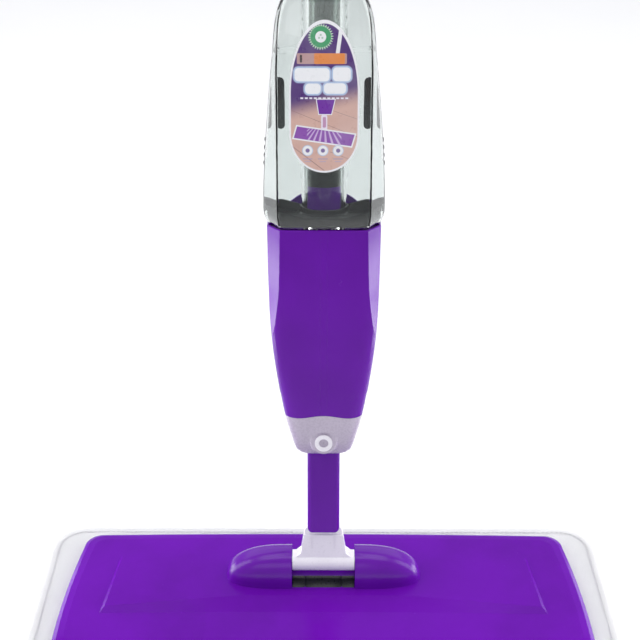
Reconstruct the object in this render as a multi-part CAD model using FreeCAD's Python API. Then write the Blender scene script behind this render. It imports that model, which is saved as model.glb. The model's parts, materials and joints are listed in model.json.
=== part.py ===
"""Flat spray mop: flat head with a pad, two-way joint, spray body, lift-off bottle, pole and trigger handle.

Millimetres. The origin is on the floor under the middle of the head. +Z is up, -Y is the front of the
mop, where the nozzle points, and +X is its right side as seen from the front. The stick is modelled
upright about the head's hinge axis and then leaned back by STICK_LEAN.
"""
import FreeCAD, Part
import math
import os

Vector = FreeCAD.Vector
X_AXIS = Vector(1, 0, 0)
Y_AXIS = Vector(0, 1, 0)
Z_AXIS = Vector(0, 0, 1)

# ---- head, in the frame of the floor ----
PAD_HALF_LENGTH = 210.0
PAD_HALF_DEPTH = 76.0
PAD_CORNER = 25.0
PAD_TOP = 7.0
BACKING_THICKNESS = 1.2
BINDING_WIDTH = 7.0
PLATE_HALF_LENGTH_FRONT = 191.0
PLATE_HALF_LENGTH_REAR = 184.0
PLATE_HALF_DEPTH = 62.0
PLATE_CORNER = 13.0
PLATE_BULGE = 2.0
PLATE_TOP = 15.0
PLATE_WALL = 2.4
HOOK_TOP = 8.0
BASE_TOP = 10.4
PANEL_RISE = 2.2
HINGE_Y = 10.0
HINGE_Z = 34.0
SLOT_HALF_WIDTH = 23.2
SLOT_FRONT = 8.0
SLOT_REAR = 27.0
HUMP_Y = 14.0
HUMP_HALF_LENGTH = 47.5
HUMP_HALF_DEPTH = 16.0
HUMP_HEIGHT = 24.6
HUMP_WALL = 2.4
HUMP_CHEEK = 3.0

# ---- pins and fits ----
PIN_R = 2.5
RUNNING_CLEARANCE = 0.05
AXLE_HALF_LENGTH = 33.0

# ---- stick, in the frame of the upright stick ----
STICK_LEAN = 12.0
SIDE_PIN_Z = 42.0
BARREL_R = 7.5
BARREL_HALF_WIDTH = 22.5
WEB_HALF_THICKNESS = 5.5
EAR_HALF_THICKNESS = 3.9
EAR_R = 10.6
NECK_HALF_WIDTH = 11.35
NECK_HALF_DEPTH = 9.6
NECK_BOTTOM = 28.0
NECK_TOP = 130.0
NECK_SLOT_HALF = 4.2
NECK_SLOT_TOP = 56.0
NECK_EDGE_R = 3.2
NECK_WALL = 2.4
BODY_BOTTOM = 93.0
BODY_TOP = 258.0
BODY_WALL = 2.2
SHELL_SPLIT_Y = -12.0
POLE_Y = 6.0
POLE_R = 10.0
POLE_WALL = 0.6
COUPLER_BORE_R = 6.4
POLE_BOTTOM = 186.0
POLE_JOINTS = (520.0, 850.0)
POLE_TOP = 1136.0
SOCKET_TOP = 280.0
SOCKET_R = 12.4
COLLAR_TOP = 291.0
WELL_Y = -19.1
WELL_R = 11.3
WELL_WALL = 1.0
WELL_FLOOR = 228.0
TRAY_BOTTOM = 250.0
TRAY_THICKNESS = 2.4
NOZZLE_Z = 106.5
NOZZLE_FRONT = -26.6

# ---- pump and push rod ----
PUMP_BOTTOM = NECK_TOP
PUMP_TOP = 174.0
PUMP_R = 9.0
PUMP_BORE = 6.0
ROD_R = 1.8
PISTON_BOTTOM = 160.0
PISTON_LENGTH = 8.0

# ---- handle and trigger ----
HANDLE_BOTTOM = 1098.0
HANDLE_TOP = 1236.0
STICK_TOP = 1262.0
HANDLE_WALL = 2.0
HANG_HOLE_R = 4.0
HANG_TAB_HALF = 6.0
TRIGGER_PIVOT_Y = -9.0
TRIGGER_PIVOT_Z = 1146.0
TRIGGER_PIN_R = 1.75
TRIGGER_TRAVEL = 16.0
TRIGGER_HALF = 4.6
TRIGGER_ARM = POLE_Y - TRIGGER_PIVOT_Y
CAM_R = 2.6
CAM_REST_Y = TRIGGER_PIVOT_Y + TRIGGER_ARM * math.cos(math.radians(TRIGGER_TRAVEL / 2))
CAM_REST_Z = TRIGGER_PIVOT_Z + TRIGGER_ARM * math.sin(math.radians(TRIGGER_TRAVEL / 2))
ROD_TOP = CAM_REST_Z - CAM_R - 0.05

# ---- bottle ----
BOTTLE_BOTTOM = 258.6
BOTTLE_WALL = 1.5
GROOVE_R = 13.0
BOTTLE_NECK_R = 8.6
BOTTLE_NECK_BOTTOM = 245.0
CAP_R = 10.8
CAP_BOTTOM = 240.0
CAP_TOP = 256.0
LABEL_THICKNESS = 0.35
GRIP_THICKNESS = 0.8

SECTION_STEP = 11.0

# Sections of the spray body, bottom to top: height, half-width of the front face, half-width at the
# sides, y of the front face, y where the side facet ends, and y of the back.
BODY_SECTIONS = (
    (93.0, 11.6, 15.2, -14.8, -11.2, 13.6),
    (97.0, 14.8, 18.7, -19.4, -15.6, 15.2),
    (110.0, 18.8, 22.8, -24.8, -20.9, 17.2),
    (125.0, 22.6, 26.6, -28.5, -24.4, 18.7),
    (155.0, 28.0, 31.4, -31.6, -27.3, 20.0),
    (184.0, 31.2, 34.7, -33.2, -27.8, 20.0),
    (218.0, 28.8, 36.3, -34.0, -18.8, 20.0),
    (258.0, 27.8, 36.8, -34.0, -14.0, 20.0),
)

# Sections of the bottle's body, in the same order of values.
BOTTLE_SECTIONS = (
    (258.6, 27.4, 35.6, -33.4, -14.0, 6.6),
    (262.0, 28.6, 37.6, -35.4, -14.0, 8.4),
    (268.0, 29.2, 39.0, -36.2, -14.2, 9.0),
    (303.0, 29.2, 37.8, -36.4, -16.0, 9.0),
    (335.0, 29.0, 35.3, -36.0, -18.6, 9.0),
    (367.0, 28.4, 32.2, -34.6, -22.0, 8.4),
    (391.0, 25.8, 29.4, -32.0, -24.0, 7.4),
    (405.0, 19.6, 23.4, -28.0, -23.0, 5.4),
    (413.0, 12.6, 16.0, -23.0, -19.0, 1.4),
    (418.0, 5.0, 7.2, -16.6, -14.4, -5.4),
)


def write(node, shape):
    """Write one sub-part to its STEP file, after checking that its solids are closed and valid."""
    if not shape.isValid():
        raise ValueError(f"{node} is not valid")
    if not shape.Solids:
        raise ValueError(f"{node} has no solid")
    shape.exportStep(f"parts/{node}.step")


def cylinder(radius, start, end):
    """A solid cylinder between two points."""
    start = Vector(*start)
    run = Vector(*end) - start
    return Part.makeCylinder(radius, run.Length, start, run)


def tube(outer, inner, start, end):
    """A hollow cylinder between two points."""
    return cylinder(outer, start, end).cut(cylinder(inner, start, end))


def box(low, high):
    """A box between two corners."""
    low = Vector(*low)
    size = Vector(*high) - low
    return Part.makeBox(size.x, size.y, size.z, low)


def both_sides(shape):
    """The shape and its mirror image across the middle plane, as separate solids."""
    return Part.makeCompound([shape, shape.mirror(Vector(0, 0, 0), X_AXIS)])


def joined(shapes):
    """One solid from shapes that touch."""
    shapes = list(shapes)
    return shapes[0].fuse(shapes[1:]).removeSplitter()


def loft(wires):
    """A smooth solid through closed sections."""
    return Part.makeLoft(wires, True, False)


def solid_of(shape):
    """The only solid of a boolean result."""
    return shape.Solids[0] if len(shape.Solids) == 1 else shape


# ---------------------------------------------------------------- head

def plan_wire(front_half, rear_half, half_depth, corner, bulge, z):
    """A rounded plan outline with slightly bowed long and short sides, wider at the front."""
    def corner_arc(side, front):
        half = front_half if front < 0 else rear_half
        centre = Vector(side * (half - corner), front * (half_depth - corner), z)
        diagonal = corner / math.sqrt(2)
        ends = [
            centre + Vector(side * corner, 0, 0),
            centre + Vector(side * diagonal, front * diagonal, 0),
            centre + Vector(0, front * corner, 0),
        ]
        return ends if side * front > 0 else ends[::-1]

    corners = [corner_arc(1, 1), corner_arc(-1, 1), corner_arc(-1, -1), corner_arc(1, -1)]
    edges = []
    for index, arc in enumerate(corners):
        following = corners[(index + 1) % 4]
        middle = (arc[2] + following[0]) * 0.5
        on_end = abs(middle.x) > 1
        outward = Vector(math.copysign(bulge, middle.x), 0, 0) if on_end else Vector(
            0, math.copysign(bulge, middle.y), 0)
        edges.append(Part.Arc(*arc).toShape())
        edges.append(Part.Arc(arc[2], middle + outward, following[0]).toShape())
    return Part.Wire(edges)


def plate_wire(inset, z):
    """The head plate's outline, drawn in by an inset, at one height."""
    return plan_wire(
        PLATE_HALF_LENGTH_FRONT - inset,
        PLATE_HALF_LENGTH_REAR - inset,
        PLATE_HALF_DEPTH - inset,
        PLATE_CORNER - 0.4 * inset,
        PLATE_BULGE,
        z,
    )


def pad_wire(inset, z):
    """The pad's outline, drawn in by an inset, at one height."""
    return plan_wire(
        PAD_HALF_LENGTH - inset,
        PAD_HALF_LENGTH - inset,
        PAD_HALF_DEPTH - inset,
        PAD_CORNER - inset,
        1.0,
        z,
    )


def slab(wire_at, insets_and_heights):
    """A ruled solid through outlines given as (inset, height) pairs."""
    return Part.makeLoft([wire_at(inset, z) for inset, z in insets_and_heights], True, True)


def hump(grow):
    """The right-hand hump beside the slot, a quarter ellipsoid, grown or shrunk all over."""
    ball = Part.makeSphere(1.0)
    scale = FreeCAD.Matrix()
    scale.scale(HUMP_HALF_LENGTH + grow, HUMP_HALF_DEPTH + grow, HUMP_HEIGHT + grow)
    ball = ball.transformGeometry(scale)
    ball.translate(Vector(SLOT_HALF_WIDTH, HUMP_Y, PLATE_TOP))
    reach = box((SLOT_HALF_WIDTH, -40, PLATE_TOP - 2.0), (120, 80, 60))
    return ball.common(reach)


def panel():
    """The raised panel on the head plate, with a sloping front that is deepest near the middle."""
    low = PLATE_TOP - 0.4
    high = PLATE_TOP + PANEL_RISE
    bottom = [(161, -26), (153.5, 33), (-153.5, 33), (-161, -26), (-60, -26), (60, -26)]
    top = [(157, -20), (151.5, 31), (-151.5, 31), (-157, -20), (-60, -9), (60, -9)]
    wires = []
    for points, z in ((bottom, low), (top, high)):
        corners = [Vector(x, y, z) for x, y in points]
        wires.append(Part.makePolygon(corners + corners[:1]))
    return Part.makeLoft(wires, True, True)


def make_head_plate():
    """The purple top plate, hollow below, with the slot, both hollow humps and the raised panel."""
    outer = slab(plate_wire, [
        (1.2, PAD_TOP + 0.4), (0, 9.5), (1.0, 12.0), (4.0, 14.0), (9.0, PLATE_TOP)])
    inner = slab(plate_wire, [(PLATE_WALL + 1.0, PAD_TOP), (PLATE_WALL + 1.0, 10.5),
                              (10.0, PLATE_TOP - PLATE_WALL)])
    plate = outer.fuse([panel(), hump(0), hump(0).mirror(Vector(0, 0, 0), X_AXIS)])
    hollow = hump(-HUMP_WALL).common(
        box((SLOT_HALF_WIDTH + HUMP_CHEEK, -40, 0), (120, 80, 60)))
    mouth = box(
        (SLOT_HALF_WIDTH + HUMP_CHEEK, HUMP_Y - 11, PLATE_TOP - 4.0), (60, HUMP_Y + 11, PLATE_TOP + 0.5))
    cavities = [hollow, mouth]
    cavities += [shape.mirror(Vector(0, 0, 0), X_AXIS) for shape in (hollow, mouth)]
    half = SLOT_HALF_WIDTH - 0.3
    slot = box((-half, SLOT_FRONT, 0), (half, SLOT_REAR, 60))
    return solid_of(plate.cut([inner, slot, make_axle_pin()] + cavities))


def base_screw_places():
    """Where the base plate is screwed to the head plate."""
    return [(x, y) for x in (-150, -90, 90, 150) for y in (-40, 40)]


def make_head_bosses():
    """The screw bosses that stand under the head plate's top wall."""
    top = PLATE_TOP - PLATE_WALL + 0.2
    return [tube(4.0, 1.5, (x, y, BASE_TOP), (x, y, top)) for x, y in base_screw_places()]


def make_base_plate():
    """The flat plate that closes the head from below."""
    plate = slab(plate_wire, [(PLATE_WALL + 1.3, HOOK_TOP - 0.4), (PLATE_WALL + 1.3, BASE_TOP)])
    holes = [cylinder(1.6, (x, y, 0), (x, y, 20)) for x, y in base_screw_places()]
    heads = [cylinder(3.1, (x, y, 0), (x, y, HOOK_TOP + 0.4)) for x, y in base_screw_places()]
    strips = [box((x - 62, y - 15, 0), (x + 62, y + 15, HOOK_TOP)) for x, y in hook_strip_places()]
    return solid_of(plate.cut(holes + heads + strips))


def make_base_screws():
    """The eight screws of the base plate."""
    screws = []
    for x, y in base_screw_places():
        head = cylinder(3.0, (x, y, HOOK_TOP - 0.4), (x, y, HOOK_TOP + 0.4))
        shank = cylinder(1.5, (x, y, HOOK_TOP), (x, y, BASE_TOP + 1.8))
        screws.append(joined([head, shank]))
    return Part.makeCompound(screws)


def hook_strip_places():
    """The centres of the hook strips that grip the pad."""
    return [(-92, 0), (92, 0)]


def make_hook_strips():
    """The two hook strips set into the base plate."""
    low = PAD_TOP + 0.05
    return Part.makeCompound([
        box((x - 61.8, y - 14.8, low), (x + 61.8, y + 14.8, HOOK_TOP)) for x, y in hook_strip_places()
    ])


def make_axle_pin():
    """The steel axle that carries the yoke."""
    return cylinder(PIN_R, (-AXLE_HALF_LENGTH, HINGE_Y, HINGE_Z), (AXLE_HALF_LENGTH, HINGE_Y, HINGE_Z))


def make_axle_clamps():
    """The saddle block inside each hump that holds the axle's end from below."""
    near = SLOT_HALF_WIDTH + HUMP_CHEEK + 0.2
    block = box((near, HINGE_Y - 2.2, BASE_TOP), (near + 7, HINGE_Y + 5, HINGE_Z - 1))
    block = block.cut(make_axle_pin())
    return both_sides(solid_of(block))


def make_pad_pile():
    """The microfibre pile, the part of the pad that wipes the floor."""
    low = PAD_TOP - BACKING_THICKNESS
    pile = slab(pad_wire, [(3.0, 0), (1.0, 1.6), (0.6, 4.0), (1.4, low)])
    return pile.cut(make_binding_space())


def make_binding_space():
    """The ring round the pad's top edge that the sewn edge tape fills."""
    outer = slab(pad_wire, [(-2.0, 3.4), (-2.0, PAD_TOP + 1.0)])
    inner = slab(pad_wire, [(BINDING_WIDTH, 3.3), (BINDING_WIDTH, PAD_TOP + 1.1)])
    return outer.cut(inner)


def make_pad_binding():
    """The edge tape sewn round the pad."""
    outer = slab(pad_wire, [(0.6, 3.4), (0, 5.0), (0.6, PAD_TOP - 0.6), (2.0, PAD_TOP)])
    inner = slab(pad_wire, [(BINDING_WIDTH, 3.3), (BINDING_WIDTH, PAD_TOP + 0.1)])
    return solid_of(outer.cut(inner))


def make_pad_backing():
    """The loop fabric on top of the pad."""
    return slab(pad_wire, [(BINDING_WIDTH, PAD_TOP - BACKING_THICKNESS), (BINDING_WIDTH, PAD_TOP)])


# ---------------------------------------------------------------- two-way joint

def make_yoke():
    """The white yoke: a barrel on the axle, a tapering web and an ear for the side pin."""
    half = BARREL_HALF_WIDTH
    barrel = cylinder(BARREL_R, (-half, 0, 0), (half, 0, 0))
    outline = [(-20.5, 0), (-20.5, 5.0), (-16.2, 8.6), (-13.8, 23.4),
               (13.8, 23.4), (16.2, 8.6), (20.5, 5.0), (20.5, 0)]
    corners = [Vector(x, -WEB_HALF_THICKNESS, z) for x, z in outline]
    web = Part.Face(Part.makePolygon(corners + corners[:1])).extrude(Vector(0, 2 * WEB_HALF_THICKNESS, 0))
    shoulder = box((-13.4, -EAR_HALF_THICKNESS, 20), (13.4, EAR_HALF_THICKNESS, 29))
    shoulder = shoulder.makeFillet(3.0, [edge for edge in shoulder.Edges if is_upright_corner(edge, 29)])
    stem = box((-EAR_R, -EAR_HALF_THICKNESS, 20), (EAR_R, EAR_HALF_THICKNESS, SIDE_PIN_Z))
    ear = cylinder(EAR_R, (0, -EAR_HALF_THICKNESS, SIDE_PIN_Z), (0, EAR_HALF_THICKNESS, SIDE_PIN_Z))
    yoke = barrel.fuse([web, shoulder, stem, ear])
    axle_bore = cylinder(PIN_R + RUNNING_CLEARANCE, (-half - 1, 0, 0), (half + 1, 0, 0))
    side_bore = cylinder(PIN_R + RUNNING_CLEARANCE, (0, -10, SIDE_PIN_Z), (0, 10, SIDE_PIN_Z))
    groove_back = -WEB_HALF_THICKNESS + 0.5
    grooves = [box((x - 0.6, groove_back - 1.5, 12), (x + 0.6, groove_back, 24)) for x in (-8, 8)]
    return solid_of(yoke.cut([axle_bore, side_bore] + grooves))


def is_upright_corner(edge, height):
    """Whether an edge runs fore and aft at one height."""
    low, high = edge.BoundBox.ZMin, edge.BoundBox.ZMax
    return abs(low - height) < 0.01 and abs(high - height) < 0.01 and edge.BoundBox.YLength > 1


def make_side_pin():
    """The steel cross pin that lets the stick tilt sideways on the yoke."""
    reach = NECK_HALF_DEPTH - 1.0
    return cylinder(PIN_R, (0, -reach, SIDE_PIN_Z), (0, reach, SIDE_PIN_Z))


def neck_bar():
    """The neck's outside, with rounded edges and a rounded foot."""
    bar = box((-NECK_HALF_WIDTH, -NECK_HALF_DEPTH, NECK_BOTTOM), (NECK_HALF_WIDTH, NECK_HALF_DEPTH, NECK_TOP))
    long_edges = [edge for edge in bar.Edges if edge.BoundBox.ZLength > 50]
    foot_edges = [
        edge for edge in bar.Edges
        if edge.BoundBox.ZMax < NECK_BOTTOM + 0.01 and edge.BoundBox.YLength > 1
    ]
    return bar.makeFillet(NECK_EDGE_R, long_edges + foot_edges)


def make_neck():
    """The flattened purple neck, hollow, forked at its foot over the yoke's ear."""
    slot = box((-30, -NECK_SLOT_HALF, NECK_BOTTOM - 1), (30, NECK_SLOT_HALF, NECK_SLOT_TOP))
    hollow = box(
        (-NECK_HALF_WIDTH + NECK_WALL, -NECK_HALF_DEPTH + NECK_WALL, NECK_SLOT_TOP + NECK_WALL),
        (NECK_HALF_WIDTH - NECK_WALL, NECK_HALF_DEPTH - NECK_WALL, NECK_TOP - NECK_WALL),
    )
    return solid_of(neck_bar().cut([slot, hollow, make_side_pin()]))


# ---------------------------------------------------------------- spray body

def section_wire(section, inset=0.0):
    """One closed cross-section: flat front, a facet each side, straight sides and a rounded back."""
    z, front_half, side_half, front_y, facet_y, back_y = section
    front_half -= 0.7 * inset
    side_half -= inset
    front_y += inset
    facet_y += 0.25 * inset
    back_y -= inset
    corner = min(0.62 * side_half, 0.62 * (back_y - facet_y))
    bend = corner * (1 - 1 / math.sqrt(2))
    front_bow = 0.012 * front_half

    def point(x, y):
        return Vector(x, y, z)

    def side(sign):
        facet = Part.makeLine(point(sign * front_half, front_y), point(sign * side_half, facet_y))
        flank = Part.makeLine(point(sign * side_half, facet_y), point(sign * side_half, back_y - corner))
        turn = Part.Arc(
            point(sign * side_half, back_y - corner),
            point(sign * (side_half - bend), back_y - bend),
            point(sign * (side_half - corner), back_y),
        ).toShape()
        return [facet, flank, turn]

    front = Part.Arc(
        point(-front_half, front_y), point(0, front_y - front_bow), point(front_half, front_y)).toShape()
    right = side(1)
    left = side(-1)
    back_edge = Part.makeLine(point(side_half - corner, back_y), point(-side_half + corner, back_y))
    return Part.Wire([front] + right + [back_edge] + left[::-1])


def section_at(sections, z):
    """The cross-section at one height, on smooth curves through the listed ones."""
    heights = [section[0] for section in sections]
    last = len(sections) - 2
    index = min(max(sum(height <= z for height in heights) - 1, 0), last)
    low, high = heights[index], heights[index + 1]
    span = high - low
    part = (z - low) / span

    def slope(at, column):
        before, after = max(at - 1, 0), min(at + 1, last + 1)
        return (sections[after][column] - sections[before][column]) / (heights[after] - heights[before])

    def value(column):
        start, end = sections[index][column], sections[index + 1][column]
        rise, fall = slope(index, column) * span, slope(index + 1, column) * span
        return (
            (2 * part**3 - 3 * part**2 + 1) * start + (part**3 - 2 * part**2 + part) * rise
            + (3 * part**2 - 2 * part**3) * end + (part**3 - part**2) * fall
        )

    return (z,) + tuple(value(column) for column in range(1, 6))


def loft_sections(sections, inset=0.0, overrun=0.0):
    """A smooth solid through a list of cross-sections, evenly resampled, run on straight at the top."""
    bottom, top = sections[0][0], sections[-1][0]
    count = max(8, round((top - bottom) / SECTION_STEP))
    heights = [bottom + (top - bottom) * step / count for step in range(count + 1)]
    wires = [section_wire(section_at(sections, z), inset) for z in heights]
    solid = loft(wires)
    if overrun:
        end = section_wire(sections[-1], inset)
        solid = solid.fuse(Part.Face(end).extrude(Vector(0, 0, overrun)))
    return solid


def body_outer():
    """The whole outside of the spray body."""
    return loft_sections(BODY_SECTIONS)


def body_inner():
    """The hollow inside the spray body, open at the top."""
    hollow = loft_sections(BODY_SECTIONS, BODY_WALL, 2.0)
    above = box((-60, -60, BODY_BOTTOM + BODY_WALL), (60, 60, BODY_TOP + 1))
    return hollow.common(above)


def wave_cutter():
    """Everything above the waved line where the nose cover meets the front shell."""
    wave = ((-60, 126.4), (-19, 125.2), (0, 127.4), (19, 125.2), (60, 126.4))
    points = [Vector(x, -80, z) for x, z in wave]
    curve = Part.BSplineCurve()
    curve.interpolate(points)
    ends = [points[-1], Vector(60, -80, 320), Vector(-60, -80, 320), points[0]]
    outline = Part.Wire([curve.toShape()] + [Part.makeLine(a, b) for a, b in zip(ends, ends[1:])])
    return Part.Face(outline).extrude(Vector(0, 200, 0))


def shell_screw_places():
    """Where the rear shell is screwed to the front shell."""
    return [(x, z) for z in (168, 236) for x in (-25.5, 25.5)]


def shell_screw(x, z):
    """One screw through the rear shell into the front shell."""
    head = cylinder(2.9, (x, 16.0, z), (x, 18.2, z))
    shank = cylinder(1.4, (x, 16.5, z), (x, -24.0, z))
    return joined([head, shank])


def make_shell_screws():
    """The four screws of the spray body."""
    return Part.makeCompound([shell_screw(x, z) for x, z in shell_screw_places()])


def nozzle_boss():
    """The round boss on the nose, in line with the nozzle."""
    boss = Part.makeCone(10.4, 8.6, 5.0, Vector(0, NOZZLE_FRONT + 6.2, NOZZLE_Z), Vector(0, -1, 0))
    bore = cylinder(5.4, (0, NOZZLE_FRONT - 5, NOZZLE_Z), (0, -10, NOZZLE_Z))
    return boss, bore


def make_nose_cover():
    """The light cover round the nozzle, at the foot of the spray body."""
    boss, bore = nozzle_boss()
    front = box((-60, -60, 0), (60, SHELL_SPLIT_Y, 400))
    cover = body_outer().cut([body_inner(), wave_cutter()]).common(front)
    boss = boss.common(front).cut(body_inner())
    return solid_of(cover.fuse(boss).cut([bore, neck_bar()]))


def make_front_shell():
    """The purple front shell, between the nose cover and the bottle."""
    front = box((-60, -60, 0), (60, SHELL_SPLIT_Y, 400))
    shell = body_outer().cut(body_inner()).common(wave_cutter()).common(front)
    solid = body_outer()
    bosses = []
    for x, z in shell_screw_places():
        bosses.append(cylinder(3.6, (x, SHELL_SPLIT_Y, z), (x, -34, z)).common(solid))
    return solid_of(shell.fuse(bosses).cut(make_shell_screws()))


def make_rear_shell():
    """The purple rear shell, with the pole socket and the raised shoulders behind the bottle."""
    rear = box((-60, SHELL_SPLIT_Y, 0), (60, 60, 400))
    shell = body_outer().cut(body_inner()).common(rear)
    socket = cylinder(SOCKET_R, (0, POLE_Y, POLE_BOTTOM - 4), (0, POLE_Y, SOCKET_TOP))
    top = BODY_SECTIONS[-1]
    raised_outer = loft([section_wire(top), section_wire((274.0,) + top[1:])])
    raised_inner = loft([section_wire(top, BODY_WALL), section_wire((274.0,) + top[1:], BODY_WALL)])
    arch = cylinder(34.0, (0, -60, 240.0), (0, 60, 240.0))
    shoulders = raised_outer.cut(raised_inner).common(box((-60, 10.5, 250), (60, 60, 300))).common(arch)
    bosses = [tube(3.6, 1.4, (x, SHELL_SPLIT_Y, z), (x, 18.5, z)) for x, z in shell_screw_places()]
    bosses = [boss.common(body_outer()) for boss in bosses]
    shell = shell.fuse([socket, shoulders] + bosses)
    wells = [cylinder(2.9, (x, 16.0, z), (x, 24.0, z)) for x, z in shell_screw_places()]
    bore = cylinder(POLE_R, (0, POLE_Y, POLE_BOTTOM), (0, POLE_Y, SOCKET_TOP + 1))
    rod_way = cylinder(ROD_R + 1.0, (0, POLE_Y, POLE_BOTTOM - 6), (0, POLE_Y, POLE_BOTTOM + 1))
    return solid_of(shell.cut([bore, rod_way, neck_bar(), make_shell_screws()] + wells))


def make_pole_collar():
    """The dark ring that finishes the pole socket."""
    ring = tube(SOCKET_R, POLE_R, (0, POLE_Y, SOCKET_TOP), (0, POLE_Y, COLLAR_TOP))
    return ring


def make_bottle_socket():
    """The dark tray that the bottle stands in, with the round well for its cap and the spigot."""
    top = BODY_SECTIONS[-1]
    low = loft_sections(BODY_SECTIONS, BODY_WALL + 0.05)
    tray = low.common(box((-60, -60, TRAY_BOTTOM), (60, 60, TRAY_BOTTOM + TRAY_THICKNESS)))
    well = cylinder(WELL_R + WELL_WALL, (0, WELL_Y, WELL_FLOOR), (0, WELL_Y, TRAY_BOTTOM + TRAY_THICKNESS))
    room = cylinder(WELL_R, (0, WELL_Y, WELL_FLOOR + 2.0), (0, WELL_Y, top[0] + 5))
    spigot = cylinder(3.0, (0, WELL_Y, WELL_FLOOR), (0, WELL_Y, CAP_BOTTOM + 1.6))
    outlet = cylinder(3.0, (0, WELL_Y, WELL_FLOOR - 6), (0, WELL_Y, WELL_FLOOR))
    way = cylinder(1.2, (0, WELL_Y, WELL_FLOOR - 7), (0, WELL_Y, CAP_BOTTOM + 3))
    pole_way = cylinder(SOCKET_R + 0.02, (0, POLE_Y, 200), (0, POLE_Y, 300))
    return solid_of(tray.fuse(well).cut(room).fuse([spigot, outlet]).cut([way, pole_way]))


def make_spigot_seal():
    """The rubber ring on the spigot."""
    return tube(3.9, 3.0, (0, WELL_Y, WELL_FLOOR + 6.0), (0, WELL_Y, WELL_FLOOR + 7.6))


def make_nozzle_ring():
    """The white ring round the nozzle."""
    ring = tube(5.4, 3.2, (0, NOZZLE_FRONT, NOZZLE_Z), (0, -19.0, NOZZLE_Z))
    lip = tube(6.0, 3.2, (0, NOZZLE_FRONT - 0.8, NOZZLE_Z), (0, NOZZLE_FRONT, NOZZLE_Z))
    return joined([ring, lip])


def make_nozzle_tip():
    """The spray nozzle with its small hole."""
    tip = cylinder(3.2, (0, NOZZLE_FRONT + 0.6, NOZZLE_Z), (0, -17.0, NOZZLE_Z))
    tail = cylinder(2.2, (0, -17.0, NOZZLE_Z), (0, -14.0, NOZZLE_Z))
    hole = cylinder(0.5, (0, NOZZLE_FRONT, NOZZLE_Z), (0, -13.0, NOZZLE_Z))
    return solid_of(joined([tip, tail]).cut(hole))


# ---------------------------------------------------------------- pump

def make_pump_body():
    """The pump cylinder with its inlet and outlet ports."""
    body = cylinder(PUMP_R, (0, POLE_Y, PUMP_BOTTOM), (0, POLE_Y, PUMP_TOP))
    ports = [cylinder(3.4, (0, POLE_Y, z), (0, -9.0, z)) for z in (138, 152)]
    bore = cylinder(PUMP_BORE, (0, POLE_Y, PUMP_BOTTOM + 3), (0, POLE_Y, PUMP_TOP - 3))
    rod_way = cylinder(ROD_R + RUNNING_CLEARANCE, (0, POLE_Y, PUMP_TOP - 5), (0, POLE_Y, PUMP_TOP + 1))
    ways = [cylinder(1.8, (0, POLE_Y, z), (0, -10.0, z)) for z in (138, 152)]
    return solid_of(body.fuse(ports).cut([bore, rod_way] + ways))


def make_valve_balls():
    """The two steel balls of the pump's one-way valves."""
    return Part.makeCompound([Part.makeSphere(1.6, Vector(0, -5.0, z)) for z in (138, 152)])


def hose(points, radius):
    """A hose along straight runs with round corners."""
    runs = [cylinder(radius, a, b) for a, b in zip(points, points[1:])]
    corners = [Part.makeSphere(radius, Vector(*corner)) for corner in points[1:-1]]
    return solid_of(runs[0].fuse(runs[1:] + corners))


def make_inlet_hose():
    """The hose from the bottle socket down to the pump."""
    return hose([(0, WELL_Y, WELL_FLOOR - 6), (0, WELL_Y, 152), (0, -9.0, 152)], 2.6)


def make_outlet_hose():
    """The hose from the pump to the nozzle."""
    return hose([(0, -9.0, 138), (0, -14.6, 138), (0, -14.6, 112), (0, -14.0, NOZZLE_Z)], 2.4).cut(
        make_nozzle_tip())


def make_push_rod():
    """The long rod inside the pole, from the trigger to the pump, with its flat head."""
    rod = cylinder(ROD_R, (0, POLE_Y, PISTON_BOTTOM + PISTON_LENGTH), (0, POLE_Y, ROD_TOP))
    head = cylinder(3.4, (0, POLE_Y, ROD_TOP - 3.0), (0, POLE_Y, ROD_TOP))
    return joined([rod, head])


def make_pump_piston():
    """The pump's piston, with a groove for its seal."""
    top = PISTON_BOTTOM + PISTON_LENGTH
    piston = cylinder(PUMP_BORE - 0.06, (0, POLE_Y, PISTON_BOTTOM), (0, POLE_Y, top))
    groove = tube(PUMP_BORE + 1, 4.6, (0, POLE_Y, PISTON_BOTTOM + 3), (0, POLE_Y, PISTON_BOTTOM + 5))
    return piston.cut(groove)


def make_piston_seal():
    """The rubber ring in the piston's groove."""
    return tube(PUMP_BORE - 0.04, 4.6, (0, POLE_Y, PISTON_BOTTOM + 3), (0, POLE_Y, PISTON_BOTTOM + 5))


def make_pump_spring():
    """The coil spring that lifts the piston and, through the rod, the trigger."""
    bottom = PUMP_BOTTOM + 4.0
    length = PISTON_BOTTOM - 0.8 - bottom
    coil_r = 4.2
    helix = Part.makeHelix(length / 7.0, length, coil_r)
    wire_circle = Part.Wire([Part.Circle(Vector(coil_r, 0, 0), Y_AXIS, 0.5).toShape()])
    spring = Part.Wire(helix.Edges).makePipeShell([wire_circle], True, True)
    spring.translate(Vector(0, POLE_Y, bottom))
    return spring


# ---------------------------------------------------------------- pole

def make_pole_tube(start, end):
    """One length of the aluminium pole."""
    return tube(POLE_R, POLE_R - POLE_WALL, (0, POLE_Y, start), (0, POLE_Y, end))


def make_pole_coupler(height):
    """A plastic coupler that joins two lengths of pole, with its visible ring."""
    inside = POLE_R - POLE_WALL - 0.02
    sleeve = cylinder(inside, (0, POLE_Y, height - 30), (0, POLE_Y, height + 30))
    ring = cylinder(POLE_R + 1.2, (0, POLE_Y, height - 5), (0, POLE_Y, height + 5))
    way = cylinder(COUPLER_BORE_R, (0, POLE_Y, height - 31), (0, POLE_Y, height + 31))
    return solid_of(sleeve.fuse(ring).cut(way))


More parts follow.
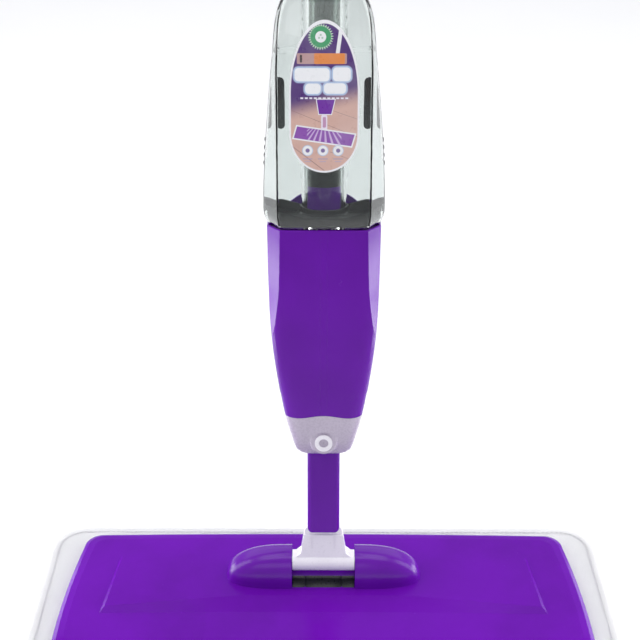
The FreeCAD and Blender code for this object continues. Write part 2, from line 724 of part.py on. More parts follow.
def pole_lengths():
    """The start and end of each length of pole, clear of the couplers' rings."""
    marks = [POLE_BOTTOM] + list(POLE_JOINTS) + [POLE_TOP]
    spans = []
    for index in range(len(marks) - 1):
        start = marks[index] + (5 if index > 0 else 0)
        end = marks[index + 1] - (5 if index < len(marks) - 2 else 0)
        spans.append((start, end))
    return spans


# ---------------------------------------------------------------- handle

# Sections of the handle, bottom to top: height, half-width, half-depth and y of the middle.
HANDLE_SECTIONS = (
    (1098.0, 11.8, 11.8, 6.0),
    (1116.0, 12.6, 14.4, 5.0),
    (1136.0, 13.6, 18.2, 3.6),
    (1156.0, 13.6, 18.2, 3.8),
    (1172.0, 12.8, 14.4, 6.2),
    (1190.0, 13.2, 14.4, 6.8),
    (1210.0, 13.8, 15.2, 6.8),
    (1236.0, 12.4, 13.6, 6.0),
)


def ellipse_wire(half_x, half_y, centre_y, z):
    """A closed ellipse at one height."""
    major, minor = max(half_x, half_y), min(half_x, half_y)
    ellipse = Part.Ellipse(Vector(0, 0, 0), major, minor)
    wire = Part.Wire([ellipse.toShape()])
    if half_y > half_x:
        wire.rotate(Vector(0, 0, 0), Z_AXIS, 90)
    wire.translate(Vector(0, centre_y, z))
    return wire


def handle_solid(inset):
    """The handle's outside, or its hollow when inset."""
    return loft([ellipse_wire(hx - inset, hy - inset, y, z) for z, hx, hy, y in HANDLE_SECTIONS])


def make_handle_shell(side):
    """One half of the handle, left (-1) or right (+1), with the trigger's window at the front."""
    half = box((0, -60, HANDLE_BOTTOM), (60, 60, HANDLE_TOP))
    if side < 0:
        half = half.mirror(Vector(0, 0, 0), X_AXIS)
    hollow = handle_solid(HANDLE_WALL).common(box((-60, -60, POLE_TOP), (60, 60, HANDLE_TOP + 1)))
    pole_way = cylinder(POLE_R, (0, POLE_Y, HANDLE_BOTTOM - 1), (0, POLE_Y, POLE_TOP))
    shell = handle_solid(0).cut([hollow, pole_way])
    ribs = []
    for z in (1182, 1222):
        ribs.append(cylinder(16, (0, POLE_Y, z), (0, POLE_Y, z + 2.4)).common(handle_solid(0)))
    shell = shell.fuse(ribs)
    reach = TRIGGER_HALF + 0.6
    window = box((-reach, -40, TRIGGER_PIVOT_Z - 7), (reach, 0.0, TRIGGER_PIVOT_Z + 22))
    pins = [make_trigger_pin(), make_handle_screws()]
    return solid_of(shell.common(half).cut([window] + pins))


def handle_screw_places():
    """Where the handle's halves are screwed together."""
    return [(POLE_Y + 5.5, 1178.0), (POLE_Y, 1216.0)]


def make_handle_screws():
    """The two screws that hold the handle's halves together."""
    screws = []
    for y, z in handle_screw_places():
        head = cylinder(2.6, (8.6, y, z), (10.4, y, z))
        shank = cylinder(1.3, (-8.0, y, z), (9.0, y, z))
        screws.append(joined([head, shank]))
    return Part.makeCompound(screws)


def make_end_cap():
    """The rounded cap on the handle, with the hole that the mop hangs by."""
    hx, hy, y = HANDLE_SECTIONS[-1][1], HANDLE_SECTIONS[-1][2], HANDLE_SECTIONS[-1][3]
    dome = loft([
        ellipse_wire(hx, hy, y, HANDLE_TOP),
        ellipse_wire(0.92 * hx, 0.95 * hy, y, HANDLE_TOP + 8),
        ellipse_wire(0.62 * hx, 0.8 * hy, y, HANDLE_TOP + 16),
        ellipse_wire(0.5 * hx, 0.6 * hy, y, HANDLE_TOP + 22),
        ellipse_wire(0.34 * hx, 0.3 * hy, y, STICK_TOP),
    ])
    flats = [
        box((HANG_TAB_HALF, -60, HANDLE_TOP + 6), (60, 60, STICK_TOP + 1)),
        box((-60, -60, HANDLE_TOP + 6), (-HANG_TAB_HALF, 60, STICK_TOP + 1)),
    ]
    hole = cylinder(HANG_HOLE_R, (-30, y, HANDLE_TOP + 13), (30, y, HANDLE_TOP + 13))
    plug = handle_solid(HANDLE_WALL).common(box((-60, -60, HANDLE_TOP - 8), (60, 60, HANDLE_TOP)))
    hollow = loft([
        ellipse_wire(hx - 4.4, hy - 4.4, y, HANDLE_TOP - 9),
        ellipse_wire(hx - 4.4, hy - 4.4, y, HANDLE_TOP + 2),
        ellipse_wire(hx - 6.4, hy - 6.4, y, HANDLE_TOP + 4),
    ])
    return solid_of(dome.cut(flats).cut(hole).fuse(plug).cut(hollow))


def trigger_cylinder(radius, half_length):
    """A cylinder across the handle on the trigger's pivot."""
    start = (-half_length, TRIGGER_PIVOT_Y, TRIGGER_PIVOT_Z)
    end = (half_length, TRIGGER_PIVOT_Y, TRIGGER_PIVOT_Z)
    return cylinder(radius, start, end)


def make_trigger_pin():
    """The pin that the trigger turns on."""
    return trigger_cylinder(TRIGGER_PIN_R, 10.5)


def make_trigger():
    """The finger trigger, with the cam arm that presses the push rod down."""
    hub = trigger_cylinder(4.6, TRIGGER_HALF)
    blade_points = [(-12.5, 1143), (-22, 1149), (-29.5, 1166), (-31.5, 1190), (-35.5, 1209),
                    (-33, 1212), (-27.5, 1194), (-25, 1172), (-18.5, 1157), (-7.5, 1149.5)]
    corners = [Vector(-TRIGGER_HALF, y, z) for y, z in blade_points]
    curve = Part.BSplineCurve()
    curve.interpolate(corners, PeriodicFlag=True)
    blade = Part.Face(Part.Wire([curve.toShape()])).extrude(Vector(2 * TRIGGER_HALF, 0, 0))
    cam = cylinder(CAM_R, (-3.4, CAM_REST_Y, CAM_REST_Z), (3.4, CAM_REST_Y, CAM_REST_Z))
    arm = cylinder(2.2, (0, TRIGGER_PIVOT_Y, TRIGGER_PIVOT_Z), (0, CAM_REST_Y, CAM_REST_Z))
    bore = trigger_cylinder(TRIGGER_PIN_R + RUNNING_CLEARANCE, 9.0)
    return solid_of(hub.fuse([blade, cam, arm]).cut(bore))


# ---------------------------------------------------------------- bottle

def pole_groove(grow):
    """The groove down the bottle's back that clears the pole."""
    radius = GROOVE_R + grow
    round_part = cylinder(radius, (0, POLE_Y, 240), (0, POLE_Y, 440))
    open_part = box((-radius, POLE_Y, 240), (radius, 60, 440))
    return round_part.fuse(open_part)


def make_bottle():
    """The clear bottle, hollow, with a groove down its back and its neck pointing down."""
    outer = loft_sections(BOTTLE_SECTIONS).cut(pole_groove(0))
    inner = loft_sections(BOTTLE_SECTIONS, BOTTLE_WALL).cut(pole_groove(BOTTLE_WALL))
    inner = inner.common(box((-60, -60, BOTTLE_BOTTOM + BOTTLE_WALL), (60, 60, 416.0)))
    neck = cylinder(BOTTLE_NECK_R, (0, WELL_Y, BOTTLE_NECK_BOTTOM), (0, WELL_Y, BOTTLE_BOTTOM + 1))
    mouth = cylinder(BOTTLE_NECK_R - 1.6, (0, WELL_Y, BOTTLE_NECK_BOTTOM - 1), (0, WELL_Y, BOTTLE_BOTTOM + 4))
    return solid_of(outer.cut(inner).fuse(neck).cut(mouth))


def make_bottle_label():
    """The printed label on the bottle's front, arched at the top."""
    raised = loft_sections(BOTTLE_SECTIONS, -LABEL_THICKNESS)
    sheet = raised.cut(loft_sections(BOTTLE_SECTIONS))
    half_width, top, shoulder, lower, bottom = 21.4, 388.0, 344.0, 320.0, 296.0

    def point(x, z):
        return Vector(x, -60, z)

    def half_ellipse(centre_z, tip_z):
        ellipse = Part.Ellipse(point(0, tip_z), point(half_width, centre_z), point(0, centre_z))
        return ellipse.trim(-math.pi / 2, math.pi / 2).toShape()

    sides = [Part.makeLine(point(x, lower), point(x, shoulder)) for x in (-half_width, half_width)]
    edges = [half_ellipse(shoulder, top), half_ellipse(lower, bottom)] + sides
    outline = Part.Wire(Part.__sortEdges__(edges))
    prism = Part.Face(outline).extrude(Vector(0, 45, 0))
    return solid_of(sheet.common(prism))


def make_bottle_grips():
    """The two dark grip strips on the back of the bottle, one each side of the groove."""
    raised = loft_sections(BOTTLE_SECTIONS, -GRIP_THICKNESS)
    skin = raised.cut(loft_sections(BOTTLE_SECTIONS))
    strip = skin.common(box((26.8, -4.0, 316.0), (60, 30, 348.0)))
    return both_sides(strip)


def make_bottle_cap():
    """The screw cap on the bottle's neck, with a hole for the spigot."""
    floor = CAP_BOTTOM + 2.4
    cup = cylinder(CAP_R, (0, WELL_Y, CAP_BOTTOM), (0, WELL_Y, CAP_TOP))
    room = cylinder(BOTTLE_NECK_R + RUNNING_CLEARANCE, (0, WELL_Y, floor), (0, WELL_Y, CAP_TOP + 1))
    way = cylinder(3.3, (0, WELL_Y, CAP_BOTTOM - 1), (0, WELL_Y, CAP_TOP))
    ribs = []
    for index in range(18):
        turn = math.radians(20 * index)
        x = (CAP_R + 0.1) * math.cos(turn)
        y = WELL_Y + (CAP_R + 0.1) * math.sin(turn)
        ribs.append(cylinder(0.5, (x, y, CAP_BOTTOM - 1), (x, y, CAP_TOP + 1)))
    return solid_of(cup.cut([room, way] + ribs))


def make_cap_seal():
    """The flat rubber washer between the cap and the bottle's neck."""
    start = (0, WELL_Y, CAP_BOTTOM + 2.4)
    return tube(BOTTLE_NECK_R - 0.1, 5.2, start, (0, WELL_Y, BOTTLE_NECK_BOTTOM - 0.1))


def make_cap_valve():
    """The valve that the spigot lifts: a disc and a short stem inside the bottle's mouth."""
    disc = cylinder(5.6, (0, WELL_Y, BOTTLE_NECK_BOTTOM + 0.1), (0, WELL_Y, BOTTLE_NECK_BOTTOM + 2.0))
    stem = cylinder(1.6, (0, WELL_Y, CAP_BOTTOM + 2.2), (0, WELL_Y, BOTTLE_NECK_BOTTOM + 1))
    return joined([disc, stem])


# ---------------------------------------------------------------- assembly

def leaned(shape):
    """A piece of the upright stick, moved to its place on the head's hinge."""
    placed = shape.copy()
    placed.rotate(Vector(0, 0, 0), X_AXIS, -STICK_LEAN)
    placed.translate(Vector(0, HINGE_Y, HINGE_Z))
    return placed


def head_parts():
    """The pieces of the head and the pad, already in place."""
    plate = make_head_plate().fuse(make_head_bosses())
    return {
        "head_plate": solid_of(plate),
        "base_plate": make_base_plate(),
        "base_screws": make_base_screws(),
        "hook_strips": make_hook_strips(),
        "axle_pin": make_axle_pin(),
        "axle_clamps": make_axle_clamps(),
        "pad_pile": make_pad_pile(),
        "pad_backing": make_pad_backing(),
        "pad_binding": make_pad_binding(),
    }


def stick_parts():
    """The pieces of the yoke, stick and bottle, upright."""
    parts = {
        "yoke": make_yoke(),
        "side_pin": make_side_pin(),
        "neck": make_neck(),
        "nose_cover": make_nose_cover(),
        "body_front_shell": make_front_shell(),
        "body_rear_shell": make_rear_shell(),
        "shell_screws": make_shell_screws(),
        "pole_collar": make_pole_collar(),
        "bottle_socket": make_bottle_socket(),
        "spigot_seal": make_spigot_seal(),
        "nozzle_ring": make_nozzle_ring(),
        "nozzle_tip": make_nozzle_tip(),
        "pump_body": make_pump_body(),
        "valve_balls": make_valve_balls(),
        "inlet_hose": make_inlet_hose(),
        "outlet_hose": make_outlet_hose(),
        "push_rod": make_push_rod(),
        "pump_piston": make_pump_piston(),
        "piston_seal": make_piston_seal(),
        "pump_spring": make_pump_spring(),
        "pole_coupler_lower": make_pole_coupler(POLE_JOINTS[0]),
        "pole_coupler_upper": make_pole_coupler(POLE_JOINTS[1]),
        "handle_shell_left": make_handle_shell(-1),
        "handle_shell_right": make_handle_shell(1),
        "handle_screws": make_handle_screws(),
        "handle_end_cap": make_end_cap(),
        "trigger": make_trigger(),
        "trigger_pin": make_trigger_pin(),
        "bottle": make_bottle(),
        "bottle_label": make_bottle_label(),
        "bottle_grips": make_bottle_grips(),
        "bottle_cap": make_bottle_cap(),
        "cap_seal": make_cap_seal(),
        "cap_valve": make_cap_valve(),
    }
    for name, (start, end) in zip(("lower", "middle", "upper"), pole_lengths()):
        parts[f"pole_{name}"] = make_pole_tube(start, end)
    return parts


def main():
    """Build every piece and write it."""
    os.makedirs("parts", exist_ok=True)
    for node, shape in head_parts().items():
        write(node, shape)
    for node, shape in stick_parts().items():
        write(node, leaned(shape))


main()
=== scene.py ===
"""The looks of the flat spray mop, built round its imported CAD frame.

Metres, in the frame of the floor: +Z is up and -Y is the front. Pieces of the stick are worked out in
millimetres in the stick's own upright frame, whose origin is the head's hinge, with z up the stick and
y to the back, and on_stick() leans them to their place.
"""
import json
import math
from functools import reduce

import bmesh
import bpy
from mathutils import Matrix, Vector, noise


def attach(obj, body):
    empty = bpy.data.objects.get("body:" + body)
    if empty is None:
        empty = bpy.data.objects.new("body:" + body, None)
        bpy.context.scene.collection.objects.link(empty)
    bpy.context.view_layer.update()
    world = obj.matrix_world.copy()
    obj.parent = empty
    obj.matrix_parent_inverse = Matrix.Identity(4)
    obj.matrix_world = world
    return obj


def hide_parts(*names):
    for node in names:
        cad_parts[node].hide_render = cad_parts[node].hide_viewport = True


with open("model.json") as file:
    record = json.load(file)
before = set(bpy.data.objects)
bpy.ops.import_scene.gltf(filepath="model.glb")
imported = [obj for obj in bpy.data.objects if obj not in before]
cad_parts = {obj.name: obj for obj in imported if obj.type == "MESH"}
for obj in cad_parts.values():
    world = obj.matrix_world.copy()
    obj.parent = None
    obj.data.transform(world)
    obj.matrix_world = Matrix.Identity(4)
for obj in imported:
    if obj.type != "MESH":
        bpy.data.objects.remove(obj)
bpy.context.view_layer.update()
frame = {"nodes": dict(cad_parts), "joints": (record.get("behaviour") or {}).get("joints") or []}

MM = 0.001

# Sections of the spray body, bottom to top: height, half-width of the front face, half-width at the
# sides, y of the front face and y where the side facet ends.
BODY_SECTIONS = (
    (93.0, 11.6, 15.2, -14.8, -11.2),
    (97.0, 14.8, 18.7, -19.4, -15.6),
    (110.0, 18.8, 22.8, -24.8, -20.9),
    (125.0, 22.6, 26.6, -28.5, -24.4),
    (155.0, 28.0, 31.4, -31.6, -27.3),
    (184.0, 31.2, 34.7, -33.2, -27.8),
    (218.0, 28.8, 36.3, -34.0, -18.8),
    (258.0, 27.8, 36.8, -34.0, -14.0),
)
BODY_SPLIT_Y = -12.0
BODY_WALL = 2.2
BODY_LIP = 257.2
NOSE_BOTTOM = 93.2
NOSE_WALL = 1.8
NOZZLE_Z = 106.5
BOSS_FRONT = -25.4
BOSS_REACH = 12.5

# Sections of the bottle, with the y of its back as a sixth value.
BOTTLE_SECTIONS = (
    (258.6, 27.4, 35.6, -33.4, -14.0, 6.6),
    (262.0, 28.6, 37.6, -35.4, -14.0, 8.4),
    (268.0, 29.2, 39.0, -36.2, -14.2, 9.0),
    (303.0, 29.2, 37.8, -36.4, -16.0, 9.0),
    (335.0, 29.0, 35.3, -36.0, -18.6, 9.0),
    (367.0, 28.4, 32.2, -34.6, -22.0, 8.4),
    (391.0, 25.8, 29.4, -32.0, -24.0, 7.4),
    (405.0, 19.6, 23.4, -28.0, -23.0, 5.4),
    (413.0, 12.6, 16.0, -23.0, -19.0, 1.4),
    (418.0, 5.0, 7.2, -16.6, -14.4, -5.4),
)
BOTTLE_SPLIT_Y = -10.0
BOTTLE_SQUARENESS = 6.0
BOTTLE_BOTTOM = 258.6
BOTTLE_TOP = 417.8
BOTTLE_WALL = 1.5
REAR_CORNER = 9.0
POLE_Y = 6.0
GROOVE_R = 13.0
NECK_Y = -19.1
WATER_BOTTOM = 261.0
WATER_TOP = 368.0
GRIP_X = 28.2
GRIP_BOTTOM = 315.0
GRIP_LENGTH = 34.0
GRIP_HALF = 3.4
DOT_Y = -12.5
DOT_HEIGHTS = (297.0, 302.0, 307.0, 312.0)

# The humps beside the hinge and the plate they stand on. HUMP_CROWN and HUMP_OUTLINE say how square their
# height and their plan are: 2 is an ellipse, and more is squarer.
PLATE_TOP = 15.0
HUMP_Y = 14.0
HUMP_CHEEK_X = 22.95
HUMP_LENGTH = 48.6
HUMP_DEPTH = 16.7
HUMP_HEIGHT = 25.3
HUMP_CROWN = 2.3
HUMP_OUTLINE = 2.9

# The pad, its edge tape and its stitches; FINE_EDGE holds the first distances in from an edge.
PAD_HALF_LENGTH = 210.0
PAD_HALF_DEPTH = 76.0
PAD_CORNER = 25.0
PILE_MIDDLE = 2.5
TAPE_WIDTH = 7.0
STITCH_INSET = 5.7
STITCH_PITCH = 3.6
STITCH_LENGTH = 2.6
STITCH_LINE = 1070.0
FINE_EDGE = (0.0, 0.18, 0.7, 1.5, 2.4, 3.4, 4.6, 6.2, 8.0)


def joint(name):
    """One joint of the record."""
    return next(item for item in frame["joints"] if item["name"] == name)


HINGE = Vector(joint("head_tilt")["pos_m"])
UP_THE_STICK = Vector(joint("bottle_lift")["axis"]).normalized()
LEAN = math.atan2(UP_THE_STICK.y, UP_THE_STICK.z)
STICK = Matrix.Translation(HINGE) @ Matrix.Rotation(-LEAN, 4, "X")


def on_stick(x, y, z):
    """A point of the upright stick, given in millimetres, at its leaned place in metres."""
    return STICK @ Vector((x * MM, y * MM, z * MM))


# -------- mesh helpers

def skin(rows, around=False):
    """Points and faces of a surface through rows of points; around joins each row's end to its start."""
    width = len(rows[0])
    span = width if around else width - 1
    points = [point for row in rows for point in row]
    faces = []
    for row in range(len(rows) - 1):
        for column in range(span):
            a = row * width + column
            b = row * width + (column + 1) % width
            faces.append((a, b, b + width, a + width))
    return points, faces


def capped(rows):
    """Points and faces of a tube through rings of points, closed at both ends."""
    points, faces = skin(rows, around=True)
    width = len(rows[0])
    faces.append(tuple(range(width))[::-1])
    faces.append(tuple(range(len(points) - width, len(points))))
    return points, faces


def gathered(shapes):
    """Several surfaces as one list of points and one list of faces."""
    points, faces = [], []
    for more_points, more_faces in shapes:
        first = len(points)
        points += more_points
        faces += [tuple(index + first for index in face) for face in more_faces]
    return points, faces


def piece(name, points, faces, material, sharp=38.0):
    """A new mesh object, welded, with outward normals, smooth except across sharp edges."""
    mesh = bpy.data.meshes.new(name)
    mesh.from_pydata([tuple(point) for point in points], [], faces)
    shape = bmesh.new()
    shape.from_mesh(mesh)
    bmesh.ops.remove_doubles(shape, verts=shape.verts, dist=0.00001)
    bmesh.ops.recalc_face_normals(shape, faces=shape.faces)
    shape.to_mesh(mesh)
    shape.free()
    mesh.shade_smooth()
    mesh.set_sharp_from_angle(angle=math.radians(sharp))
    mesh.materials.append(material)
    obj = bpy.data.objects.new(name, mesh)
    bpy.context.scene.collection.objects.link(obj)
    return obj


def place(obj, body, slot, *nodes):
    """Ride a piece on its body, and hide the CAD nodes it stands for; slot is not used."""
    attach(obj, body)
    if nodes:
        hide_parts(*nodes)


def turned(obj, way=1):
    """Turn a closed piece's faces outwards, or inwards where way is -1."""
    shape = bmesh.new()
    shape.from_mesh(obj.data)
    if shape.calc_volume(signed=True) * way < 0:
        bmesh.ops.reverse_faces(shape, faces=shape.faces)
        shape.to_mesh(obj.data)
    shape.free()
    return obj


def add_wall(obj, thickness):
    """Give an open skin its wall, inwards."""
    wall = obj.modifiers.new("wall", "SOLIDIFY")
    wall.thickness = thickness
    wall.offset = -1.0
    wall.use_even_offset = False


def soften(obj, width, angle):
    """Round off the sharp edges of a piece."""
    bevel = obj.modifiers.new("edges", "BEVEL")
    bevel.width = width
    bevel.segments = 2
    bevel.limit_method = "ANGLE"
    bevel.angle_limit = math.radians(angle)
    bevel.harden_normals = True
    return obj


def ease(low, high, value):
    """0 below low, 1 above high, smooth between."""
    part = min(max((value - low) / (high - low), 0.0), 1.0)
    return part * part * (3 - 2 * part)


def hermite(table, z, column):
    """One column of a table of sections at any height, on a smooth curve."""
    last = len(table) - 2
    index = min(max(sum(row[0] <= z for row in table) - 1, 0), last)
    span = table[index + 1][0] - table[index][0]
    part = (z - table[index][0]) / span

    def slope(at):
        before, after = max(at - 1, 0), min(at + 1, last + 1)
        return (table[after][column] - table[before][column]) / (table[after][0] - table[before][0]) * span

    start, end = table[index][column], table[index + 1][column]
    return (
        (2 * part**3 - 3 * part**2 + 1) * start + (part**3 - 2 * part**2 + part) * slope(index)
        + (3 * part**2 - 2 * part**3) * end + (part**3 - part**2) * slope(index + 1)
    )


# -------- material helpers

class Graph:
    """A material's node tree, with short ways to add nodes. Places are in metres, in the row frame."""

    def __init__(self, name):
        self.material = bpy.data.materials.new(name)
        self.material.use_nodes = True
        self.tree = self.material.node_tree
        self.shader = self.tree.nodes["Principled BSDF"]
        self.place = self.add("ShaderNodeTexCoord").outputs["Object"]

    def add(self, kind, **settings):
        node = self.tree.nodes.new(kind)
        for key, value in settings.items():
            setattr(node, key, value)
        return node

    def feed(self, socket, value):
        if isinstance(value, bpy.types.NodeSocket):
            self.tree.links.new(value, socket)
        elif isinstance(value, (int, float)):
            socket.default_value = value
        else:
            socket.default_value = tuple(value) + ((1.0,) if len(value) < len(socket.default_value) else ())

    def set(self, **values):
        """Constants and links on the Principled shader; underscores stand for spaces in the names."""
        for key, value in values.items():
            self.feed(self.shader.inputs[key.replace("_", " ")], value)

    def math(self, operation, *values):
        node = self.add("ShaderNodeMath", operation=operation)
        for socket, value in zip(node.inputs, values):
            self.feed(socket, value)
        return node.outputs[0]

    def plus(self, first, second):
        return self.math("ADD", first, second)

    def minus(self, first, second):
        return self.math("SUBTRACT", first, second)

    def times(self, first, second):
        return self.math("MULTIPLY", first, second)

    def larger(self, first, second):
        return self.math("MAXIMUM", first, second)

    def unsigned(self, value):
        return self.math("ABSOLUTE", value)

    def fit(self, value, low, high, to_low=0.0, to_high=1.0):
        """A value moved from one range to another, smooth and clamped."""
        node = self.add("ShaderNodeMapRange", interpolation_type="SMOOTHSTEP")
        for socket, part in zip(node.inputs, (value, low, high, to_low, to_high)):
            self.feed(socket, part)
        return node.outputs[0]

    def stick_place(self):
        """Millimetres to the right of the stick's middle, and up the stick from the head's hinge."""
        parts = self.add("ShaderNodeSeparateXYZ")
        self.feed(parts.inputs[0], self.place)
        back = self.times(self.minus(parts.outputs["Y"], HINGE.y), math.sin(LEAN) / MM)
        up = self.times(self.minus(parts.outputs["Z"], HINGE.z), math.cos(LEAN) / MM)
        return self.times(parts.outputs["X"], 1 / MM), self.plus(back, up)

    def stretched(self, stretch):
        node = self.add("ShaderNodeMapping")
        self.feed(node.inputs["Vector"], self.place)
        self.feed(node.inputs["Rotation"], (LEAN, 0.0, 0.0))
        self.feed(node.inputs["Scale"], stretch)
        return node.outputs[0]

    def texture(self, node, where, **values):
        """Set up a texture node at a place, and give its outputs."""
        self.feed(node.inputs["Vector"], where)
        for key, value in values.items():
            self.feed(node.inputs[key], value)
        return node.outputs

    def noise(self, scale, detail=2.0, rough=0.5, where=None):
        node = self.add("ShaderNodeTexNoise")
        return self.texture(node, where or self.place, Scale=scale, Detail=detail, Roughness=rough)["Fac"]

    def cells(self, scale):
        node = self.add("ShaderNodeTexVoronoi")
        return self.texture(node, self.place, Scale=scale)["Distance"]

    def wave(self, scale, direction, distortion):
        node = self.add("ShaderNodeTexWave", bands_direction=direction)
        return self.texture(node, self.place, Scale=scale, Distortion=distortion)["Fac"]

    def mix(self, share, first, second):
        """A colour between two, by a share."""
        node = self.add("ShaderNodeMix", data_type="RGBA")
        self.feed(node.inputs["Factor"], share)
        self.feed(node.inputs[6], first)
        self.feed(node.inputs[7], second)
        return node.outputs[2]

    def bump(self, height, distance, strength=1.0, under=None):
        node = self.add("ShaderNodeBump")
        self.feed(node.inputs["Height"], height)
        self.feed(node.inputs["Distance"], distance)
        self.feed(node.inputs["Strength"], strength)
        if under is not None:
            self.feed(node.inputs["Normal"], under)
        return node.outputs["Normal"]

    def clear_to_lamps(self, colour):
        """Let lamps shine through, so that a clear material throws only a faint shadow."""
        clear = self.add("ShaderNodeBsdfTransparent")
        self.feed(clear.inputs["Color"], colour)
        choice = self.add("ShaderNodeMixShader")
        self.feed(choice.inputs["Fac"], self.add("ShaderNodeLightPath").outputs["Is Shadow Ray"])
        self.feed(choice.inputs[1], self.shader.outputs[0])
        self.feed(choice.inputs[2], clear.outputs[0])
        self.feed(self.tree.nodes["Material Output"].inputs["Surface"], choice.outputs[0])


def scaled(colour, amount):
    """A colour made lighter or darker."""
    return tuple(min(part * amount, 1.0) for part in colour)


def moulded_plastic(name, colour, roughness, grain=1.0, coat=0.0, glow=0.0, shine=0.5, ribs_at=None):
    """Moulded plastic: slow colour drift, faint flow marks, fine grain and a few handling scuffs.

    ribs_at puts two hair-fine mould lines up the front, that many millimetres each side of the middle.
    """
    g = Graph(name)
    drift = g.noise(14.0, 3.0)
    flow = g.noise(90.0, 2.0, where=g.stretched((1.0, 1.0, 0.1)))
    tone = g.mix(g.fit(drift, 0.3, 0.7), scaled(colour, 0.9), scaled(colour, 1.08))
    tone = g.mix(g.fit(flow, 0.45, 0.75, 0.0, 0.12), tone, scaled(colour, 1.3))
    scuff = g.fit(g.noise(300.0, 4.0, 0.7, g.stretched((1.0, 1.0, 0.25))), 0.64, 0.74, 0.0, 1.0)
    patch = g.fit(g.noise(22.0, 2.0), 0.52, 0.68, 0.0, 1.0)
    worn = g.times(scuff, patch)
    g.set(Base_Color=g.mix(g.times(worn, 0.18), tone, scaled(colour, 1.7)))
    gloss = g.fit(g.noise(700.0, 2.0), 0.3, 0.7, roughness * 0.88, roughness * 1.14)
    g.set(Roughness=g.plus(gloss, g.times(worn, 0.16)))
    fine = g.bump(g.noise(2600.0, 2.0), 0.000006 * grain)
    skin_bump = g.bump(g.noise(70.0, 1.0), 0.00004 * grain, 0.4, fine)
    if ribs_at:
        off = g.unsigned(g.minus(g.unsigned(g.stick_place()[0]), ribs_at))
        skin_bump = g.bump(g.fit(off, 0.0, 0.35, 1.0, 0.0), 0.00012, 1.0, skin_bump)
    g.set(Normal=skin_bump)
    g.set(IOR=1.5, Specular_IOR_Level=shine, Coat_Weight=coat, Coat_Roughness=0.08)
    if glow:
        g.set(Subsurface_Weight=glow, Subsurface_Radius=(0.004, 0.0035, 0.004), Subsurface_Scale=1.0)
    return g.material


def metal(name, colour, roughness, brushed):
    """Metal with fine lines along the stick, faint stains and small dents in its gloss."""
    g = Graph(name)
    lines = g.noise(1800.0, 3.0, 0.6, g.stretched((1.0, 1.0, 0.02 if brushed else 1.0)))
    stain = g.noise(26.0, 4.0, 0.6)
    tone = g.mix(g.fit(lines, 0.3, 0.7), scaled(colour, 0.86), scaled(colour, 1.1))
    g.set(Base_Color=g.mix(g.fit(stain, 0.5, 0.8, 0.0, 0.25), tone, scaled(colour, 0.7)))
    g.set(Roughness=g.fit(lines, 0.25, 0.75, roughness * 0.8, roughness * 1.25))
    g.set(Metallic=1.0, Normal=g.bump(lines, 0.000008))
    return g.material


def rubber(name, colour):
    """Matt rubber with a dusty bloom and a fine pebbled skin."""
    g = Graph(name)
    dust = g.fit(g.noise(60.0, 4.0), 0.45, 0.75)
    g.set(Base_Color=g.mix(dust, colour, scaled(colour, 1.8)))
    g.set(Roughness=g.fit(g.noise(500.0, 2.0), 0.3, 0.7, 0.5, 0.68))
    g.set(Normal=g.bump(g.cells(1500.0), 0.00003))
    return g.material


def clear_plastic():
    """Clear bottle plastic: faintly grey-green, slightly uneven, with fine scratches."""
    g = Graph("clear bottle plastic")
    tint = g.fit(g.noise(25.0, 2.0), 0.3, 0.7)
    g.set(Base_Color=g.mix(tint, (0.80, 0.835, 0.82), (0.85, 0.88, 0.868)))
    scratch = g.fit(g.noise(900.0, 3.0, 0.6, g.stretched((1.0, 1.0, 0.06))), 0.6, 0.75)
    g.set(Roughness=g.plus(0.02, g.times(scratch, 0.05)))
    g.set(Normal=g.bump(g.noise(45.0, 2.0), 0.00035, 0.5))
    g.set(Transmission_Weight=1.0, IOR=1.46, Specular_IOR_Level=0.28)
    g.clear_to_lamps((0.93, 0.95, 0.945))
    return g.material


def clear_water():
    """Water: clear, with a faint tint and small ripples."""
    g = Graph("water")
    g.set(Base_Color=g.mix(g.noise(18.0, 2.0), (0.955, 0.97, 0.965), (0.985, 0.99, 0.99)))
    g.set(Roughness=g.fit(g.noise(60.0, 2.0), 0.3, 0.7, 0.0, 0.02))
    g.set(Normal=g.bump(g.noise(80.0, 2.0), 0.0002, 0.4))
    g.set(Transmission_Weight=1.0, IOR=1.12)
    g.clear_to_lamps((0.96, 0.975, 0.97))
    return g.material


def woven(name, colour, threads, shade=0.82, fuzz=0.5, depth=0.00018):
    """Cloth: crossing threads with a soft sheen, uneven dye and a light nap."""
    g = Graph(name)
    across = g.wave(threads, "X", 1.2)
    along = g.wave(threads, "Y", 1.2)
    weave = g.larger(across, along)
    nap = g.noise(2400.0, 3.0, 0.7)
    stain = g.fit(g.noise(16.0, 4.0, 0.6), 0.35, 0.7)
    tone = g.mix(weave, scaled(colour, shade), colour)
    tone = g.mix(g.times(stain, 0.25), tone, scaled(colour, 0.93))
    g.set(Base_Color=g.mix(g.fit(nap, 0.4, 0.75, 0.0, 0.3), tone, (1.0, 1.0, 1.0)))
    g.set(Roughness=g.fit(nap, 0.3, 0.7, 0.78, 0.95))
    g.set(Sheen_Weight=fuzz, Sheen_Roughness=0.45)
    threads_up = g.bump(weave, depth, 0.8)
    g.set(Normal=g.bump(nap, 0.0002, 0.7, threads_up))
    return g.material


